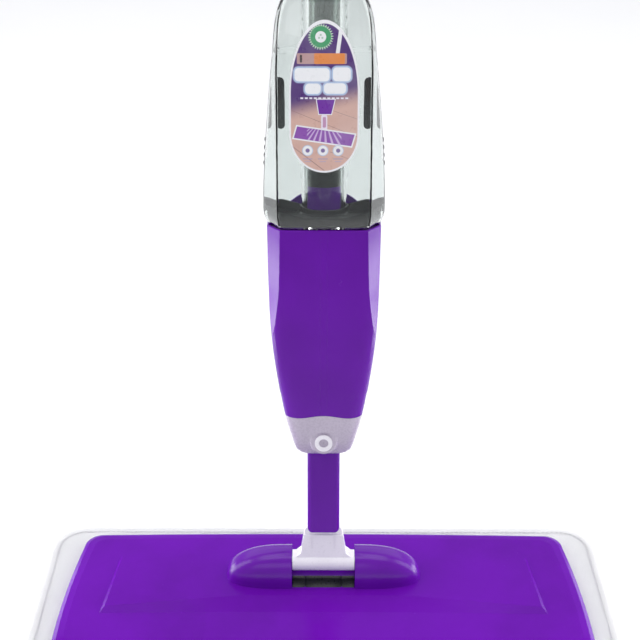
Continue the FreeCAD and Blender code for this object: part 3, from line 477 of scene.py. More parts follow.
def microfibre():
    """Microfibre pile: short matted fibres in clumps, soft, with painted shade greying the hollows between
    the clumps.
    """
    g = Graph("microfibre pile")
    clumps = g.cells(420.0)
    fibre = g.noise(1500.0, 4.0, 0.75)
    # Painted shade: the hollows between the clumps are drawn grey.
    hollow = g.fit(clumps, 0.1, 0.7)
    tone = g.mix(hollow, (0.78, 0.785, 0.79), (0.52, 0.53, 0.55))
    g.set(Base_Color=g.mix(g.fit(fibre, 0.35, 0.7, 0.0, 0.5), tone, (0.86, 0.86, 0.865)))
    g.set(Roughness=g.fit(fibre, 0.3, 0.7, 0.85, 1.0))
    g.set(Sheen_Weight=0.6, Sheen_Roughness=0.5)
    g.set(Normal=g.bump(fibre, 0.0004, 0.8, g.bump(clumps, -0.0006, 0.7)))
    return g.material


# -------- label art

def label_print():
    """The printed label, drawn in the stick's own millimetres: x across and z up the stick."""
    g = Graph("label print")
    plus, minus, times, larger, unsigned = g.plus, g.minus, g.times, g.larger, g.unsigned
    x, z = g.stick_place()

    def box(low_x, high_x, low_z, high_z, round_by=0.0):
        """Distance outside a box with round corners."""
        reach_x, reach_z = (high_x - low_x) / 2 - round_by, (high_z - low_z) / 2 - round_by
        over_x = minus(unsigned(minus(x, (low_x + high_x) / 2)), reach_x)
        over_z = minus(unsigned(minus(z, (low_z + high_z) / 2)), reach_z)
        if not round_by:
            return larger(over_x, over_z)
        out_x, out_z = larger(over_x, 0.0), larger(over_z, 0.0)
        outside = g.math("SQRT", plus(times(out_x, out_x), times(out_z, out_z)))
        return minus(outside, round_by)

    def disc(at_x, at_z, radius):
        """Distance outside a disc."""
        by_x, by_z = minus(x, at_x), minus(z, at_z)
        reach = g.math("SQRT", plus(times(by_x, by_x), times(by_z, by_z)))
        return minus(reach, radius)

    def slanted(at_x, at_z, slope):
        """Distance to the right of a slanting line."""
        run = times(minus(z, at_z), slope)
        return minus(minus(x, at_x), run)

    def both(*distances):
        """The part that shapes have in common."""
        return reduce(larger, distances)

    def either(*distances):
        """Shapes taken together."""
        return reduce(lambda one, other: g.math("MINIMUM", one, other), distances)

    def lay(distance, colour, blur=0.1):
        """Lay a colour over the art, inside a shape."""
        nonlocal art
        art = g.mix(g.fit(distance, -blur, blur, 1.0, 0.0), art, colour)

    violet, deep, white = (0.075, 0.022, 0.175), (0.16, 0.02, 0.36), (0.88, 0.88, 0.9)
    grain = g.noise(90.0, 3.0, 0.6, g.stretched((0.25, 1.0, 1.0)))
    wood = g.mix(grain, (0.62, 0.37, 0.31), (0.74, 0.50, 0.43))
    fade = minus(z, times(x, 0.25))
    art = g.mix(g.fit(fade, 332.0, 346.0), wood, violet)
    for at_x, at_z, slope, top in ((-9.0, 330.0, -2.5, 338.0), (12.0, 332.0, -2.9, 338.0),
                                   (-10.0, 305.0, -1.3, 316.0), (14.0, 305.0, -2.6, 309.0)):
        plank = minus(unsigned(slanted(at_x, at_z, slope)), 0.3)
        lay(both(plank, minus(z, top)), (0.30, 0.17, 0.17), 0.25)
    stripe = minus(unsigned(slanted(8.9, 375.0, 0.14)), 1.15)
    lay(both(stripe, minus(366.0, z)), white)

    spin = g.math("ARCTAN2", minus(z, 378.1), minus(x, -2.2))
    spikes = times(g.math("SINE", times(spin, 30.0)), 0.8)
    lay(minus(disc(-2.2, 378.1, 6.9), spikes), (0.50, 0.74, 0.50), 0.2)
    lay(disc(-2.2, 378.1, 6.2), (0.04, 0.33, 0.13))
    lay(disc(-2.2, 378.1, 3.3), white)
    for at_x, at_z in ((-3.2, 377.5), (-1.2, 377.5), (-2.2, 379.2)):
        lay(disc(at_x, at_z, 0.6), (0.45, 0.6, 0.5))

    lay(box(-16.6, 13.6, 362.2, 368.5, 0.8), (0.50, 0.30, 0.30))
    lay(box(-6.2, 12.4, 362.2, 368.5, 0.8), (0.80, 0.26, 0.06))
    lay(box(-14.8, -13.4, 363.0, 367.6, 0.6), (0.05, 0.03, 0.03))

    blocks = []
    for low_x, high_x, low_z, high_z in ((-18.0, 3.2, 351.9, 359.8), (5.2, 16.0, 352.0, 360.2),
                                         (-11.6, -2.2, 344.4, 350.6), (-0.2, 13.2, 344.5, 350.8)):
        blocks.append(box(low_x, high_x, low_z, high_z, 2.4))
    shapes = either(*blocks)
    lay(minus(shapes, 1.0), (0.46, 0.58, 0.80), 0.5)
    lay(shapes, (0.93, 0.94, 0.96))
    dash = minus(unsigned(g.math("SINE", times(x, 1.15))), 0.84)
    lay(both(box(-15.4, 15.4, 341.3, 342.3), dash), (0.86, 0.83, 0.92), 0.15)

    sides = slanted(6.4, 341.0, 0.24), times(slanted(-4.6, 341.0, -0.16), -1.0)
    small_body = both(*sides, box(-8.0, 9.0, 332.2, 345.0, 2.0), minus(z, 341.0))
    lay(minus(small_body, 0.5), white)
    lay(small_body, deep)
    lay(box(-1.9, 1.9, 321.0, 331.8, 1.2), (0.84, 0.76, 0.88))
    lay(box(-0.9, 1.1, 324.0, 330.4, 0.6), (0.55, 0.30, 0.48))
    slope = plus(z, times(x, 0.144))
    small_head = both(minus(unsigned(minus(slope, 318.6)), 3.7),
                      minus(unsigned(slanted(0.0, 318.6, 0.3)), 18.4))
    lay(minus(small_head, 0.9), white)
    lay(small_head, (0.26, 0.07, 0.42))
    fan = g.math("DIVIDE", times(x, 26.0), minus(331.0, z))
    ray = both(small_head, minus(unsigned(x), 10.5), minus(0.4, g.math("SINE", fan)))
    lay(ray, (0.62, 0.45, 0.74), 0.4)

    for at_x in (-10.2, -0.8, 8.6):
        for radius, colour in ((3.4, (0.55, 0.64, 0.80)), (2.9, white), (1.3, (0.22, 0.16, 0.36))):
            lay(disc(at_x, 309.8, radius), colour)
        lay(box(at_x - 3.0, at_x + 3.0, 304.3, 304.9, 0.2), (0.42, 0.34, 0.50))
        lay(box(at_x - 2.0, at_x + 2.0, 302.7, 303.2, 0.2), (0.50, 0.40, 0.55))

    out_x = g.math("DIVIDE", x, 21.4)
    above = g.math("DIVIDE", larger(minus(z, 344.0), 0.0), 44.0)
    under = g.math("DIVIDE", larger(minus(320.0, z), 0.0), 24.0)
    reach = plus(times(out_x, out_x), plus(times(above, above), times(under, under)))
    rim = minus(20.35, times(g.math("SQRT", reach), 21.4))
    lay(rim, (0.90, 0.89, 0.92))

    sheen = g.noise(300.0, 3.0)
    g.set(Base_Color=g.mix(g.fit(g.noise(40.0, 3.0), 0.4, 0.8, 0.0, 0.12), art, (0.8, 0.78, 0.8)))
    g.set(Roughness=g.fit(sheen, 0.3, 0.7, 0.26, 0.4), IOR=1.5, Coat_Weight=0.3, Coat_Roughness=0.12)
    g.set(Normal=g.bump(g.noise(1200.0, 2.0), 0.00001, 0.7, g.bump(sheen, 0.00002)))
    return g.material


PURPLE = (0.128, 0.0045, 0.36)
FINISHES = {
    "purple_plastic": moulded_plastic("purple plastic", PURPLE, 0.24, 1.0, 0.0, 0.0, 0.2),
    # The head plate takes the purple plastic painted 3% darker: painted shade.
    "shaded_plate_plastic": moulded_plastic("purple plate plastic painted darker", scaled(PURPLE, 0.97), 0.22, 0.4, shine=0.07),
    # The humps take the purple plastic painted 2% lighter, a painted highlight tone, with a real glossier
    # finish.
    "lit_hump_plastic": moulded_plastic("purple hump plastic painted lighter", scaled(PURPLE, 1.02), 0.21, 0.5, shine=0.32),
    "white_plastic": moulded_plastic("white plastic", (0.9, 0.87, 0.94), 0.3, 0.6, 0.1),
    "lavender_plastic": moulded_plastic("lavender plastic", (0.52, 0.46, 0.57), 0.28, 0.25, 0.1),
    "dark_plastic": moulded_plastic("dark plastic", (0.015, 0.017, 0.0175), 0.3, 1.2, shine=0.3),
    "hose_plastic": moulded_plastic("hose plastic", (0.6, 0.62, 0.6), 0.35, 0.6, 0.0, 0.2),
    "clear_plastic": clear_plastic(),
    "water": clear_water(),
    "label_print": label_print(),
    "pole_metal": metal("pole metal", (0.30, 0.32, 0.31), 0.3, True),
    "steel": metal("screw and pin steel", (0.56, 0.56, 0.57), 0.25, False),
    "black_rubber": rubber("black rubber", (0.022, 0.023, 0.024)),
    "microfibre": microfibre(),
    "loop_fabric": woven("loop fabric", (0.76, 0.765, 0.77), 900.0, 0.88),
    "edge_tape": woven("edge tape", (0.85, 0.85, 0.86), 1400.0, 0.84, 0.3, 0.00016),
    "hook_tape": woven("hook tape", (0.03, 0.03, 0.032), 700.0, 0.6, 0.2, 0.0004),
}


ROUNDED_NODES = (
    ("head_plate", 0.7), ("yoke", 0.6), ("neck", 0.6), ("pole_collar", 0.5), ("trigger", 0.5),
    ("bottle_cap", 0.3),
)


def finish_cad_nodes():
    """Give each CAD node the made finish of its record slot, and round its sharp edges a little."""
    for name, obj in frame["nodes"].items():
        for index, slot in enumerate(obj.material_slots):
            obj.material_slots[index].material = FINISHES[slot.material.name.split(".")[0]]
    # The head plate gets the darker copy of the purple plastic: painted shade.
    frame["nodes"]["head_plate"].material_slots[0].material = FINISHES["shaded_plate_plastic"]
    for name, width in ROUNDED_NODES:
        soften(frame["nodes"][name], width * MM, 28.0)


# -------- camera, light and floor

def make_camera():
    """The camera at the photograph's angle: close in front, looking down at the head."""
    data = bpy.data.cameras.new("camera")
    data.lens = 67.5
    data.sensor_width = 36.0
    data.clip_start = 0.01
    camera = bpy.data.objects.new("camera", data)
    camera.location = (0.0, -0.6464, 0.6420)
    camera.rotation_euler = (math.radians(90 - 31.508), 0.0, math.radians(0.215))
    bpy.context.scene.collection.objects.link(camera)
    bpy.context.scene.camera = camera


def soft_light(name, place_at, target, size, watts):
    """A large soft lamp aimed at a point."""
    data = bpy.data.lights.new(name, "AREA")
    data.shape = "RECTANGLE"
    data.size, data.size_y = size
    data.energy = watts
    lamp = bpy.data.objects.new(name, data)
    lamp.location = place_at
    lamp.rotation_euler = (Vector(target) - Vector(place_at)).to_track_quat("-Z", "Y").to_euler()
    lamp.visible_camera = False
    bpy.context.scene.collection.objects.link(lamp)


def make_light():
    """Plain soft studio light: side boxes, a broad top, a weak front fill, low strips and a far wash."""
    world = bpy.data.worlds.new("studio")
    world.use_nodes = True
    world.node_tree.nodes["Background"].inputs["Color"].default_value = (0.94, 0.95, 1.0, 1.0)
    world.node_tree.nodes["Background"].inputs["Strength"].default_value = 0.5
    bpy.context.scene.world = world
    middle = (0.0, 0.05, 0.35)
    soft_light("left box", (-1.5, 0.1, 0.9), middle, (0.9, 1.6), 14.0)
    soft_light("right box", (1.5, 0.1, 0.9), middle, (0.9, 1.6), 12.0)
    soft_light("top box", (0.0, 0.2, 2.4), middle, (2.2, 1.6), 22.0)
    soft_light("front fill", (-0.5, -1.9, 1.5), middle, (1.4, 0.9), 4.0)
    soft_light("left low strip", (-0.42, 0.12, 0.05), (0.0, 0.06, 0.24), (0.3, 0.14), 0.7)
    soft_light("right low strip", (0.42, 0.12, 0.05), (0.0, 0.06, 0.24), (0.3, 0.14), 0.7)
    soft_light("far wash", (0.0, 5.5, 3.0), (0.0, 5.5, 0.0), (8.0, 6.0), 130.0)
    bpy.context.scene.view_settings.view_transform = "Standard"


def make_floor():
    """The plain pale floor."""
    shape = bmesh.new()
    bmesh.ops.create_grid(shape, x_segments=8, y_segments=8, size=9.0)
    mesh = bpy.data.meshes.new("floor")
    shape.to_mesh(mesh)
    shape.free()
    g = Graph("studio floor")
    speck = g.noise(8.0, 4.0)
    g.set(Base_Color=g.mix(speck, (0.93, 0.93, 0.935), (0.95, 0.95, 0.955)))
    g.set(Roughness=g.fit(speck, 0.3, 0.7, 0.7, 0.8), Specular_IOR_Level=0.2)
    g.set(Normal=g.bump(g.noise(300.0, 2.0), 0.00005))
    mesh.materials.append(g.material)
    floor = bpy.data.objects.new("floor", mesh)
    floor.location.z = -0.0004
    bpy.context.scene.collection.objects.link(floor)


# -------- spray body

def soft_outline(z, table, split_y, power, count=160):
    """Half a section without its facet: from the middle of the front, round the soft corner, to the split."""
    side, front = hermite(table, z, 2), hermite(table, z, 3)
    depth = max(split_y - front, 0.5)
    points = []
    for step in range(count + 1):
        turn = 0.5 * math.pi * step / count
        x = side * math.sin(turn) ** (2 / power)
        y = split_y - depth * math.cos(turn) ** (2 / power)
        points.append(Vector((x, y)))
    points[-1].y = split_y
    return points


def spread(points, count):
    """A line of points resampled evenly."""
    lengths = [0.0]
    for before, after in zip(points, points[1:]):
        lengths.append(lengths[-1] + (after - before).length)
    out = []
    index = 0
    for step in range(count):
        goal = lengths[-1] * step / (count - 1)
        while index < len(points) - 2 and lengths[index + 1] < goal:
            index += 1
        span = max(lengths[index + 1] - lengths[index], 1e-9)
        out.append(points[index].lerp(points[index + 1], min((goal - lengths[index]) / span, 1.0)))
    return out


def half_section(z, table, split_y, power):
    """Half a section: soft front, then the flat facet cut across its corner, then the flank."""
    soft = soft_outline(z, table, split_y, power)
    start = Vector((hermite(table, z, 1), hermite(table, z, 3)))
    end = Vector((hermite(table, z, 2), hermite(table, z, 4)))
    along = (end - start).normalized()
    outward = Vector((along.y, -along.x))
    proud = [(point - start).dot(outward) for point in soft]
    cut = [index for index, value in enumerate(proud) if value > 0.0]
    peak = max(range(len(soft)), key=lambda index: proud[index])
    first, last = (cut[0], cut[-1]) if cut else (peak, peak)
    first, last = max(min(first, peak - 3), 4), min(max(last, peak + 3), len(soft) - 4)
    middle = soft[first:last + 1]
    if cut and last - first > 6:
        middle = [soft[first], soft[last]]
    return spread(soft[:first + 1], 20)[:-1] + spread(middle, 7)[:-1] + spread(soft[last:], 7)


def body_section(z):
    """The front section of the body, left split to right split, with squarer corners towards the top."""
    half = half_section(z, BODY_SECTIONS, BODY_SPLIT_Y, 4.2 + 2.8 * ease(120.0, 200.0, z))
    left = [Vector((-point.x, point.y)) for point in half[:0:-1]]
    return left + half


def wave_height(x):
    """The waved line where the nose cover meets the front shell."""
    wave = math.cos(math.pi * x / 19.0) * (1 - ease(19.0, 30.0, abs(x)))
    return 126.4 + 1.1 * wave - 0.6 * ease(19.0, 26.0, abs(x))


def body_row(heights_of):
    """One row of the body's front. heights_of gives the height for an x, so a row can follow the wave."""
    row = []
    for index, guess in enumerate(body_section(heights_of(0.0))):
        z = heights_of(guess.x)
        row.append((body_section(z)[index], z))
    return row


def make_front_shell():
    """The purple front shell with its leaf-shaped facets, soft lower corners and rounded top lip."""
    rows = []
    steps = 44
    for step in range(steps + 1):
        share = step / steps

        def height(x, share=share):
            return wave_height(x) + 0.15 + (BODY_LIP - wave_height(x)) * share

        if step < 6:
            row = body_row(height)
        else:
            row = [(point, height(point.x)) for point in body_section(height(0.0))]
        rows.append([on_stick(point.x, point.y, z) for point, z in row])
    for z, inset in ((257.7, 0.35), (258.0, 1.0)):
        section = body_section(z)
        wide = section[-1].x
        rows.append([
            on_stick(point.x * (1 - inset / wide), point.y + inset * ease(-14.0, -30.0, point.y), z)
            for point in section
        ])
    body_plastic = moulded_plastic("purple body plastic", PURPLE, 0.24, shine=0.2, ribs_at=2.2)
    shell = piece("body_front_skin", *skin(rows), body_plastic)
    add_wall(shell, BODY_WALL * MM)
    place(soften(shell, 0.0006, 14.0), "stick", "purple_plastic", "body_front_shell")


def boss_push(x, y, z):
    """A point of the nose pushed out to the round boss that carries the nozzle."""
    reach = math.hypot(x, z - NOZZLE_Z)
    front = BOSS_FRONT + 9.0 * ease(8.4, BOSS_REACH, reach)
    return min(y, front) if reach < BOSS_REACH else y


def make_nose_cover():
    """The light nose cover, with the nozzle's boss blended into its front."""
    rows = []
    steps = 34
    for step in range(steps + 1):
        share = step / steps

        def height(x, share=share):
            return NOSE_BOTTOM + (wave_height(x) - NOSE_BOTTOM) * share

        row = body_row(height)
        rows.append([on_stick(point.x, boss_push(point.x, point.y, z), z) for point, z in row])
    cover = piece("nose_skin", *skin(rows), FINISHES["lavender_plastic"])
    add_wall(cover, NOSE_WALL * MM)
    place(soften(cover, 0.0004, 30.0), "stick", "lavender_plastic", "nose_cover")


# -------- bottle

def bottle_section(z, inset=0.0):
    """A closed section of the bottle, drawn in by an inset, with the pole's groove in its back."""
    half = half_section(z, BOTTLE_SECTIONS, BOTTLE_SPLIT_Y, BOTTLE_SQUARENESS)
    side, back = hermite(BOTTLE_SECTIONS, z, 2), hermite(BOTTLE_SECTIONS, z, 5)
    corner = max(min(REAR_CORNER, back - BOTTLE_SPLIT_Y - 1.0, side * 0.4), 0.5)
    flank = back - corner - BOTTLE_SPLIT_Y
    rear = [Vector((side, BOTTLE_SPLIT_Y + flank * step / 3)) for step in range(1, 4)]
    for step in range(1, 9):
        turn = 0.5 * math.pi * step / 8
        bend = Vector((math.cos(turn), math.sin(turn)))
        rear.append(Vector((side - corner, back - corner)) + corner * bend)
    for step in range(1, 33):
        rear.append(Vector(((side - corner) * (1 - step / 32), back)))
    right = half + rear
    shaped = []
    for x, y in right:
        if x < GROOVE_R:
            y = min(y, POLE_Y - math.sqrt(max(GROOVE_R * GROOVE_R - x * x, 0.0)) - 0.02)
        shaped.append(Vector((x, y)))
    left = [Vector((-point.x, point.y)) for point in shaped[-2:0:-1]]
    ring = shaped + left
    if inset:
        ring = drawn_in(ring, inset)
    return ring


def drawn_in(ring, inset):
    """A closed ring of points moved inwards along its normals."""
    out = []
    for index, point in enumerate(ring):
        before, after = ring[index - 1], ring[(index + 1) % len(ring)]
        along = after - before
        if along.length < 1e-6:
            out.append(point.copy())
            continue
        along.normalize()
        out.append(point + Vector((-along.y, along.x)) * inset)
    return out


def closing(z, inset, shares):
    """Rings that close a section of the bottle, each a share of its size."""
    ring = bottle_section(z, inset)
    centre = sum(ring, Vector((0.0, 0.0))) / len(ring)
    return [[on_stick(*centre.lerp(point, share), z) for point in ring] for share in shares]


def bottle_rows(inset, low, high):
    """Rows of points up the bottle, closed at both ends, drawn in by an inset."""
    rows = closing(low, inset, (0.0, 0.2, 0.5, 0.8))
    for step in range(65):
        z = low + (high - low) * step / 64
        rows.append([on_stick(x, y, z) for x, y in bottle_section(z, inset)])
    return rows + closing(high, inset, (0.8, 0.5, 0.2, 0.0))


def add_inside(obj, points, faces):
    """Add a closed inner skin to a piece, its faces turned into the hollow."""
    inner = turned(piece("inside", points, faces, obj.data.materials[0]), -1)
    shape = bmesh.new()
    shape.from_mesh(obj.data)
    shape.from_mesh(inner.data)
    shape.to_mesh(obj.data)
    shape.free()
    bpy.data.meshes.remove(inner.data)


def make_bottle():
    """The clear bottle, with its wall, standing in the tray."""
    rows = bottle_rows(0.0, BOTTLE_BOTTOM, BOTTLE_TOP)
    bottle = turned(piece("bottle_wall", *skin(rows, around=True), FINISHES["clear_plastic"], 30.0))
    inside = bottle_rows(BOTTLE_WALL, BOTTLE_BOTTOM + BOTTLE_WALL, BOTTLE_TOP - BOTTLE_WALL)
    add_inside(bottle, *skin(inside, around=True))
    bottle.data.set_sharp_from_angle(angle=math.radians(30.0))
    place(bottle, "bottle", "clear_plastic", "bottle")


def ring_rows(profile, centre_y, count=48):
    """Rows of points round an upright axis of the stick, through (radius, height) pairs."""
    rows = []
    for radius, z in profile:
        row = []
        for index in range(count):
            turn = 2 * math.pi * index / count
            row.append(on_stick(radius * math.cos(turn), centre_y + radius * math.sin(turn), z))
        rows.append(row)
    return rows


def make_bottle_neck():
    """The bottle's neck, which points down into the tray and carries the cap."""
    profile = [(7.0, 259.4), (7.0, 245.3), (7.3, 245.0), (8.3, 245.0), (8.6, 245.3), (8.6, 256.4),
               (9.4, 257.4), (9.4, 258.5), (8.9, 259.4), (7.0, 259.4)]
    points, faces = skin(ring_rows(profile, NECK_Y), around=True)
    neck = turned(piece("bottle_neck", points, faces, FINISHES["clear_plastic"]))
    place(neck, "bottle", "clear_plastic")


def make_water():
    """The water in the bottle, with a slightly waved surface."""
    gap = BOTTLE_WALL + 0.25
    rows = bottle_rows(gap, WATER_BOTTOM, WATER_TOP)
    water = turned(piece("bottle_water", *skin(rows, around=True), FINISHES["water"], 30.0))
    for vertex in water.data.vertices:
        level = (STICK.inverted() @ vertex.co) / MM
        if level.z > WATER_TOP - 0.01:
            lift = 0.9 * noise.noise(Vector((level.x / 9.0, level.y / 9.0, 1.7)))
            vertex.co = on_stick(level.x, level.y, level.z + lift)
    place(water, "bottle", "clear_plastic")


def bottle_back(x, z):
    """The y of the bottle's back at a distance from its middle, round its rear corner."""
    side, back = hermite(BOTTLE_SECTIONS, z, 2), hermite(BOTTLE_SECTIONS, z, 5)
    past = max(x - (side - REAR_CORNER), 0.0)
    return back - REAR_CORNER + math.sqrt(max(REAR_CORNER ** 2 - past ** 2, 0.0))


def make_grip_strips():
    """The two dark grip strips on the bottle's back corners, crowned, with round ends."""
    for sign, name in ((-1, "grip_strip_left"), (1, "grip_strip_right")):
        rows = []
        for level in range(33):
            share = level / 32
            z = GRIP_BOTTOM + GRIP_LENGTH * share
            end = min(share, 1 - share) * GRIP_LENGTH
            half = GRIP_HALF * math.sqrt(max(1 - (1 - min(end / GRIP_HALF, 1.0)) ** 2, 0.0))
            front = [(across, 0.12) for across in (-1.0, -0.9, -0.5, 0.0, 0.5, 0.9, 1.0)]
            crown = [(across, 0.35 + 0.8 * math.sqrt(1 - across ** 2)) for across in (0.95, 0.7, 0.35, 0.0)]
            crown += [(-across, height) for across, height in crown[-2::-1]]
            row = []
            for across, proud in front + crown:
                x = GRIP_X + half * across
                row.append(on_stick(sign * x, bottle_back(x, z) + proud, z))
            rows.append(row)
        strip = piece(name, *skin(rows, around=True), FINISHES["black_rubber"], 40.0)
        place(strip, "bottle", "black_rubber", "bottle_grips")


def make_bottle_shade_foot():
    """The dark insert in the bottle's foot, a shallow tray whose rim rises towards the sides, is painted
    shade: a dark piece standing in for the shade and dark reflections seen there.
    """
    profile = [(1.9, 260.5, 0.0), (1.9, 265.2, 1.0), (2.3, 265.8, 1.0), (3.0, 265.4, 1.0), (3.6, 262.8, 0.2),
               (6.0, 262.1, 0.0)]
    rows = closing(260.5, 1.9, (0.0, 0.2, 0.6))
    for inset, z, swell in profile:
        row = []
        for x, y in bottle_section(z, inset):
            row.append(on_stick(x, y, z + 5.0 * swell * ease(8.0, 34.0, abs(x))))
        rows.append(row)
    rows += closing(262.1, 6.0, (0.6, 0.2, 0.0))
    foot = piece("bottle_shade_foot", *skin(rows, around=True), FINISHES["dark_plastic"], 40.0)
    place(foot, "bottle", "dark_plastic")


def make_grip_dots():
    """Four small raised dots in a column on each side of the bottle."""
    shapes = []
    for side in (-1, 1):
        for z in DOT_HEIGHTS:
            x = side * hermite(BOTTLE_SECTIONS, z, 2)
            rows = []
            for out, radius in ((-0.3, 1.0), (0.35, 0.9), (0.6, 0.6), (0.7, 0.15)):
                row = []
                for index in range(12):
                    turn = 2 * math.pi * index / 12
                    up = 1.7 * radius * math.sin(turn)
                    row.append(on_stick(x + side * out, DOT_Y + radius * math.cos(turn), z + up))
                rows.append(row)
            shapes.append(capped(rows))
    dots = piece("bottle_dots", *gathered(shapes), FINISHES["black_rubber"], 50.0)
    place(dots, "bottle", "black_rubber")


# -------- head

def hump_rows(side):
    """Rings up one hump: a thin flared rim, steep soft sides, a broad crown; each closed across its cheek."""
    levels = [(3.2, -0.25), (2.5, 0.1), (1.8, 0.25), (1.1, 0.5), (0.55, 1.0), (0.2, 1.8), (0.0, 2.8)]
    for step in range(1, 19):
        levels.append((0.0, 2.8 + (HUMP_HEIGHT - 2.8) * math.sin(0.5 * math.pi * step / 18)))
    rows = []
    for flare, rise in levels:
        height = max(rise, 0.0) / HUMP_HEIGHT
        shrink = max(1 - height ** HUMP_CROWN, 0.0) ** (1 / HUMP_CROWN)
        long, deep = HUMP_LENGTH * shrink + flare, HUMP_DEPTH * shrink + flare
        row = []
        for step in range(41):
            turn = math.pi * (step / 40 - 0.5)
            out = math.cos(turn) ** (2 / HUMP_OUTLINE) if step not in (0, 40) else 0.0
            across = math.copysign(abs(math.sin(turn)) ** (2 / HUMP_OUTLINE), math.sin(turn))
            x = side * (HUMP_CHEEK_X + long * out)
            row.append(Vector((x, HUMP_Y + deep * across, PLATE_TOP + rise)) * MM)
        rows.append(row)
    return rows


def make_humps():
    """The skins of the two humps beside the slot."""
    for side, name in ((-1, "hump_skin_left"), (1, "hump_skin_right")):
        hump = piece(name, *skin(hump_rows(side), around=True), FINISHES["lit_hump_plastic"], 42.0)
        place(soften(hump, 0.0006, 42.0), "head", "purple_plastic")


def make_saddle():
    """The dark saddle between the humps, under the front of the yoke's barrel."""
    profile = [(-3.4, 15.0), (-3.0, 15.9), (-1.6, 16.9), (1.0, 18.0), (4.5, 19.2), (8.0, 19.8), (8.9, 19.4),
               (9.2, 18.2), (9.2, 9.6), (8.2, 9.6), (8.2, 14.6), (-3.0, 14.6)]
    rows = []
    for x in (-22.7, -22.4, -14.0, -13.4, -12.8, 12.8, 13.4, 14.0, 22.4, 22.7):
        sunk = 0.5 if abs(x) == 22.7 or abs(x) == 13.4 else 0.0
        rows.append([Vector((x, y, z - sunk * ease(15.0, 17.0, z))) * MM for y, z in profile])
    saddle = piece("hinge_saddle", *capped(rows), FINISHES["dark_plastic"], 40.0)
    place(soften(saddle, 0.0005, 40.0), "head", "dark_plastic")


# -------- pad

def lattice(half, step):
    """Coordinates from -half to half, close together at both ends."""
    inner = half - FINE_EDGE[-1]
    count = max(int(2 * inner / step), 2)
    middle = [-inner + 2 * inner * index / count for index in range(1, count)]
    return [-half + part for part in FINE_EDGE] + middle + [half - part for part in FINE_EDGE[::-1]]


def rounded_place(u, v, half_x, half_y, corner):
    """A point of a rectangle moved into the one with round corners, and its distance from the edge."""
    over_x, over_y = abs(u) - (half_x - corner), abs(v) - (half_y - corner)
    if over_x <= 0.0 or over_y <= 0.0:
        return u, v, min(half_x - abs(u), half_y - abs(v))
    a, b = over_x / corner, over_y / corner
    a, b = a * math.sqrt(1 - b * b / 2), b * math.sqrt(1 - a * a / 2)
    x = math.copysign(half_x - corner + a * corner, u)
    y = math.copysign(half_y - corner + b * corner, v)
    return x, y, max(corner * (1 - math.hypot(a, b)), 0.0)


def pad_outline(inset, count):
    """Points round the pad's outline, drawn in by an inset, with the outward direction at each."""
    half_x, half_y = PAD_HALF_LENGTH - inset, PAD_HALF_DEPTH - inset
    corner = max(PAD_CORNER - inset, 1.0)
    straight_x, straight_y = 2 * (half_x - corner), 2 * (half_y - corner)
    arc = 0.5 * math.pi * corner
    total = 2 * (straight_x + straight_y) + 4 * arc
    points = []
    for index in range(count):
        at = total * index / count
        for side, length in enumerate((straight_x, straight_y, straight_x, straight_y)):
            turn = side * 0.5 * math.pi
            outward = Vector((math.sin(turn), -math.cos(turn)))
            along = Vector((math.cos(turn), math.sin(turn)))
            reach = half_y if side % 2 == 0 else half_x
            if at <= length:
                points.append((outward * reach + along * (at - length / 2), outward))
                break
            at -= length
            if at <= arc:
                bend = turn + at / corner
                outward_now = Vector((math.sin(bend), -math.cos(bend)))
                centre = outward * (reach - corner) + along * (length / 2)
                points.append((centre + outward_now * corner, outward_now))
                break
            at -= arc
    return points


def tuft(x, y, size, seed):
    """A soft random value from -1 to 1 that changes over a given size, in millimetres."""
    return noise.noise(Vector((x / size, y / size, seed)))


def pile_row(v, top):
    """One row of the pile, above or below, with clumps in its surface and a soft round edge."""
    row = []
    for u in lattice(PAD_HALF_LENGTH, 2.6):
        x, y, inside = rounded_place(u, v, PAD_HALF_LENGTH, PAD_HALF_DEPTH, PAD_CORNER)
        edge = min(inside / 2.6, 1.0)
        swell = math.sqrt(max(1 - (1 - edge) ** 2, 0.0))
        clump = 0.5 + 0.5 * tuft(x, y, 3.4, 2.0 if top else 5.0)
        rise = 3.1 - 0.4 * clump if top else 0.5 * clump - 2.5
        z = PILE_MIDDLE + rise * swell
        ragged = (0.35 + 0.75 * tuft(x, y, 2.2, 9.0)) * (1 - ease(0.0, 3.0, inside))
        x += math.copysign(ragged, x) * ease(150.0, 205.0, abs(x))
        y += math.copysign(ragged, y) * ease(50.0, 74.0, abs(y))
        row.append(Vector((x, y, max(z, 0.05))) * MM)
    return row


def make_pad_pile():
    """The microfibre pile: a soft closed mat with clumps, round sides and a slightly ragged edge."""
    rows = [pile_row(v, True) for v in lattice(PAD_HALF_DEPTH, 2.6)]
    under = [pile_row(v, False) for v in lattice(PAD_HALF_DEPTH, 2.6)]
    points, faces = gathered((skin(rows), skin(under)))
    shift = len(points) // 2
    width, height = len(rows[0]), len(rows)
    rim = list(range(width))
    rim += [row * width + width - 1 for row in range(1, height)]
    rim += [(height - 1) * width + column for column in range(width - 2, -1, -1)]
    rim += [row * width for row in range(height - 2, 0, -1)]
    for index, here in enumerate(rim):
        after = rim[(index + 1) % len(rim)]
        faces.append((here, after, after + shift, here + shift))
    pile = piece("pad_microfibre", points, faces, FINISHES["microfibre"], 80.0)
    place(pile, "pad", "microfibre", "pad_pile")


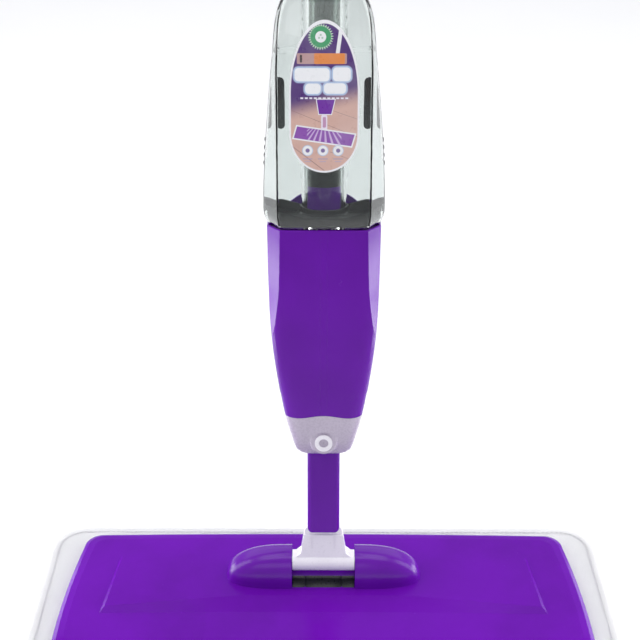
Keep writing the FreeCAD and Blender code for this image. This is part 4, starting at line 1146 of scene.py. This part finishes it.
def make_pad_cloth():
    """The loop fabric on top of the pad, drawn flat under the head and slightly crowned beyond it."""
    half_x, half_y = PAD_HALF_LENGTH - TAPE_WIDTH + 1.6, PAD_HALF_DEPTH - TAPE_WIDTH + 1.6
    corner = PAD_CORNER - TAPE_WIDTH + 1.6
    rows = []
    for v in lattice(half_y, 3.0):
        row = []
        for u in lattice(half_x, 3.0):
            x, y, _ = rounded_place(u, v, half_x, half_y, corner)
            beyond = max(ease(184.0, 194.0, abs(x)), ease(58.0, 66.0, abs(y)))
            crown = beyond * (0.25 + 0.3 * tuft(x, y, 16.0, 3.0) + 0.08 * tuft(x, y, 4.0, 7.0))
            row.append(Vector((x, y, 6.72 + crown)) * MM)
        rows.append(row)
    cloth = piece("pad_top_cloth", *skin(rows), FINISHES["loop_fabric"])
    add_wall(cloth, 0.8 * MM)
    place(cloth, "pad", "loop_fabric", "pad_backing")


def make_edge_tape():
    """The woven tape folded over the pad's edge and sewn down, with the slight ripples of sewing."""
    profile = ((3.2, 3.1), (1.4, 3.3), (0.5, 3.9), (0.1, 4.8), (0.25, 5.8), (0.9, 6.7), (1.9, 7.12),
               (3.4, 7.28), (5.0, 7.2), (5.7, 6.98), (6.3, 7.12), (6.9, 7.08))
    count = 460
    rows = []
    for inset, z in profile:
        row = []
        for point, outward in pad_outline(inset, count):
            ripple = 0.16 * noise.noise(Vector((point.x / 5.5, point.y / 5.5, 0.4)))
            drift = 0.5 * noise.noise(Vector((point.x / 30.0, point.y / 30.0, 6.0))) * ease(3.0, 6.5, inset)
            place_at = point + outward * (ripple + drift)
            row.append(Vector((place_at.x, place_at.y, z + ripple)) * MM)
        rows.append(row)
    tape = piece("pad_edge_tape", *skin(rows, around=True), FINISHES["edge_tape"], 60.0)
    add_wall(tape, 0.45 * MM)
    place(tape, "pad", "edge_tape", "pad_binding")


def make_stitches():
    """The line of stitches that holds the tape, each a short rounded thread sunk at both ends."""
    outline = pad_outline(STITCH_INSET, int(STITCH_LINE / STITCH_PITCH))
    shapes = []
    for middle, outward in outline:
        along = Vector((-outward.y, outward.x))
        rows = []
        for step in range(5):
            share = step / 4 - 0.5
            arch = 1 - (2 * share) ** 2
            size = 0.26 + 0.1 * arch
            row = []
            for turn_step in range(6):
                turn = 2 * math.pi * turn_step / 6
                flat = middle + along * (STITCH_LENGTH * share) + outward * (size * math.cos(turn))
                row.append(Vector((*flat, 7.12 + 0.3 * arch + size * math.sin(turn))) * MM)
            rows.append(row)
        shapes.append(capped(rows))
    stitches = piece("pad_stitches", *gathered(shapes), FINISHES["edge_tape"], 80.0)
    place(stitches, "pad", "edge_tape")


# -------- assembly

make_camera()
make_light()
make_floor()
finish_cad_nodes()
make_front_shell()
make_nose_cover()
make_bottle()
make_bottle_neck()
make_water()
make_grip_strips()
make_bottle_shade_foot()
make_grip_dots()
make_humps()
make_saddle()
make_pad_pile()
make_pad_cloth()
make_stitches()
make_edge_tape()
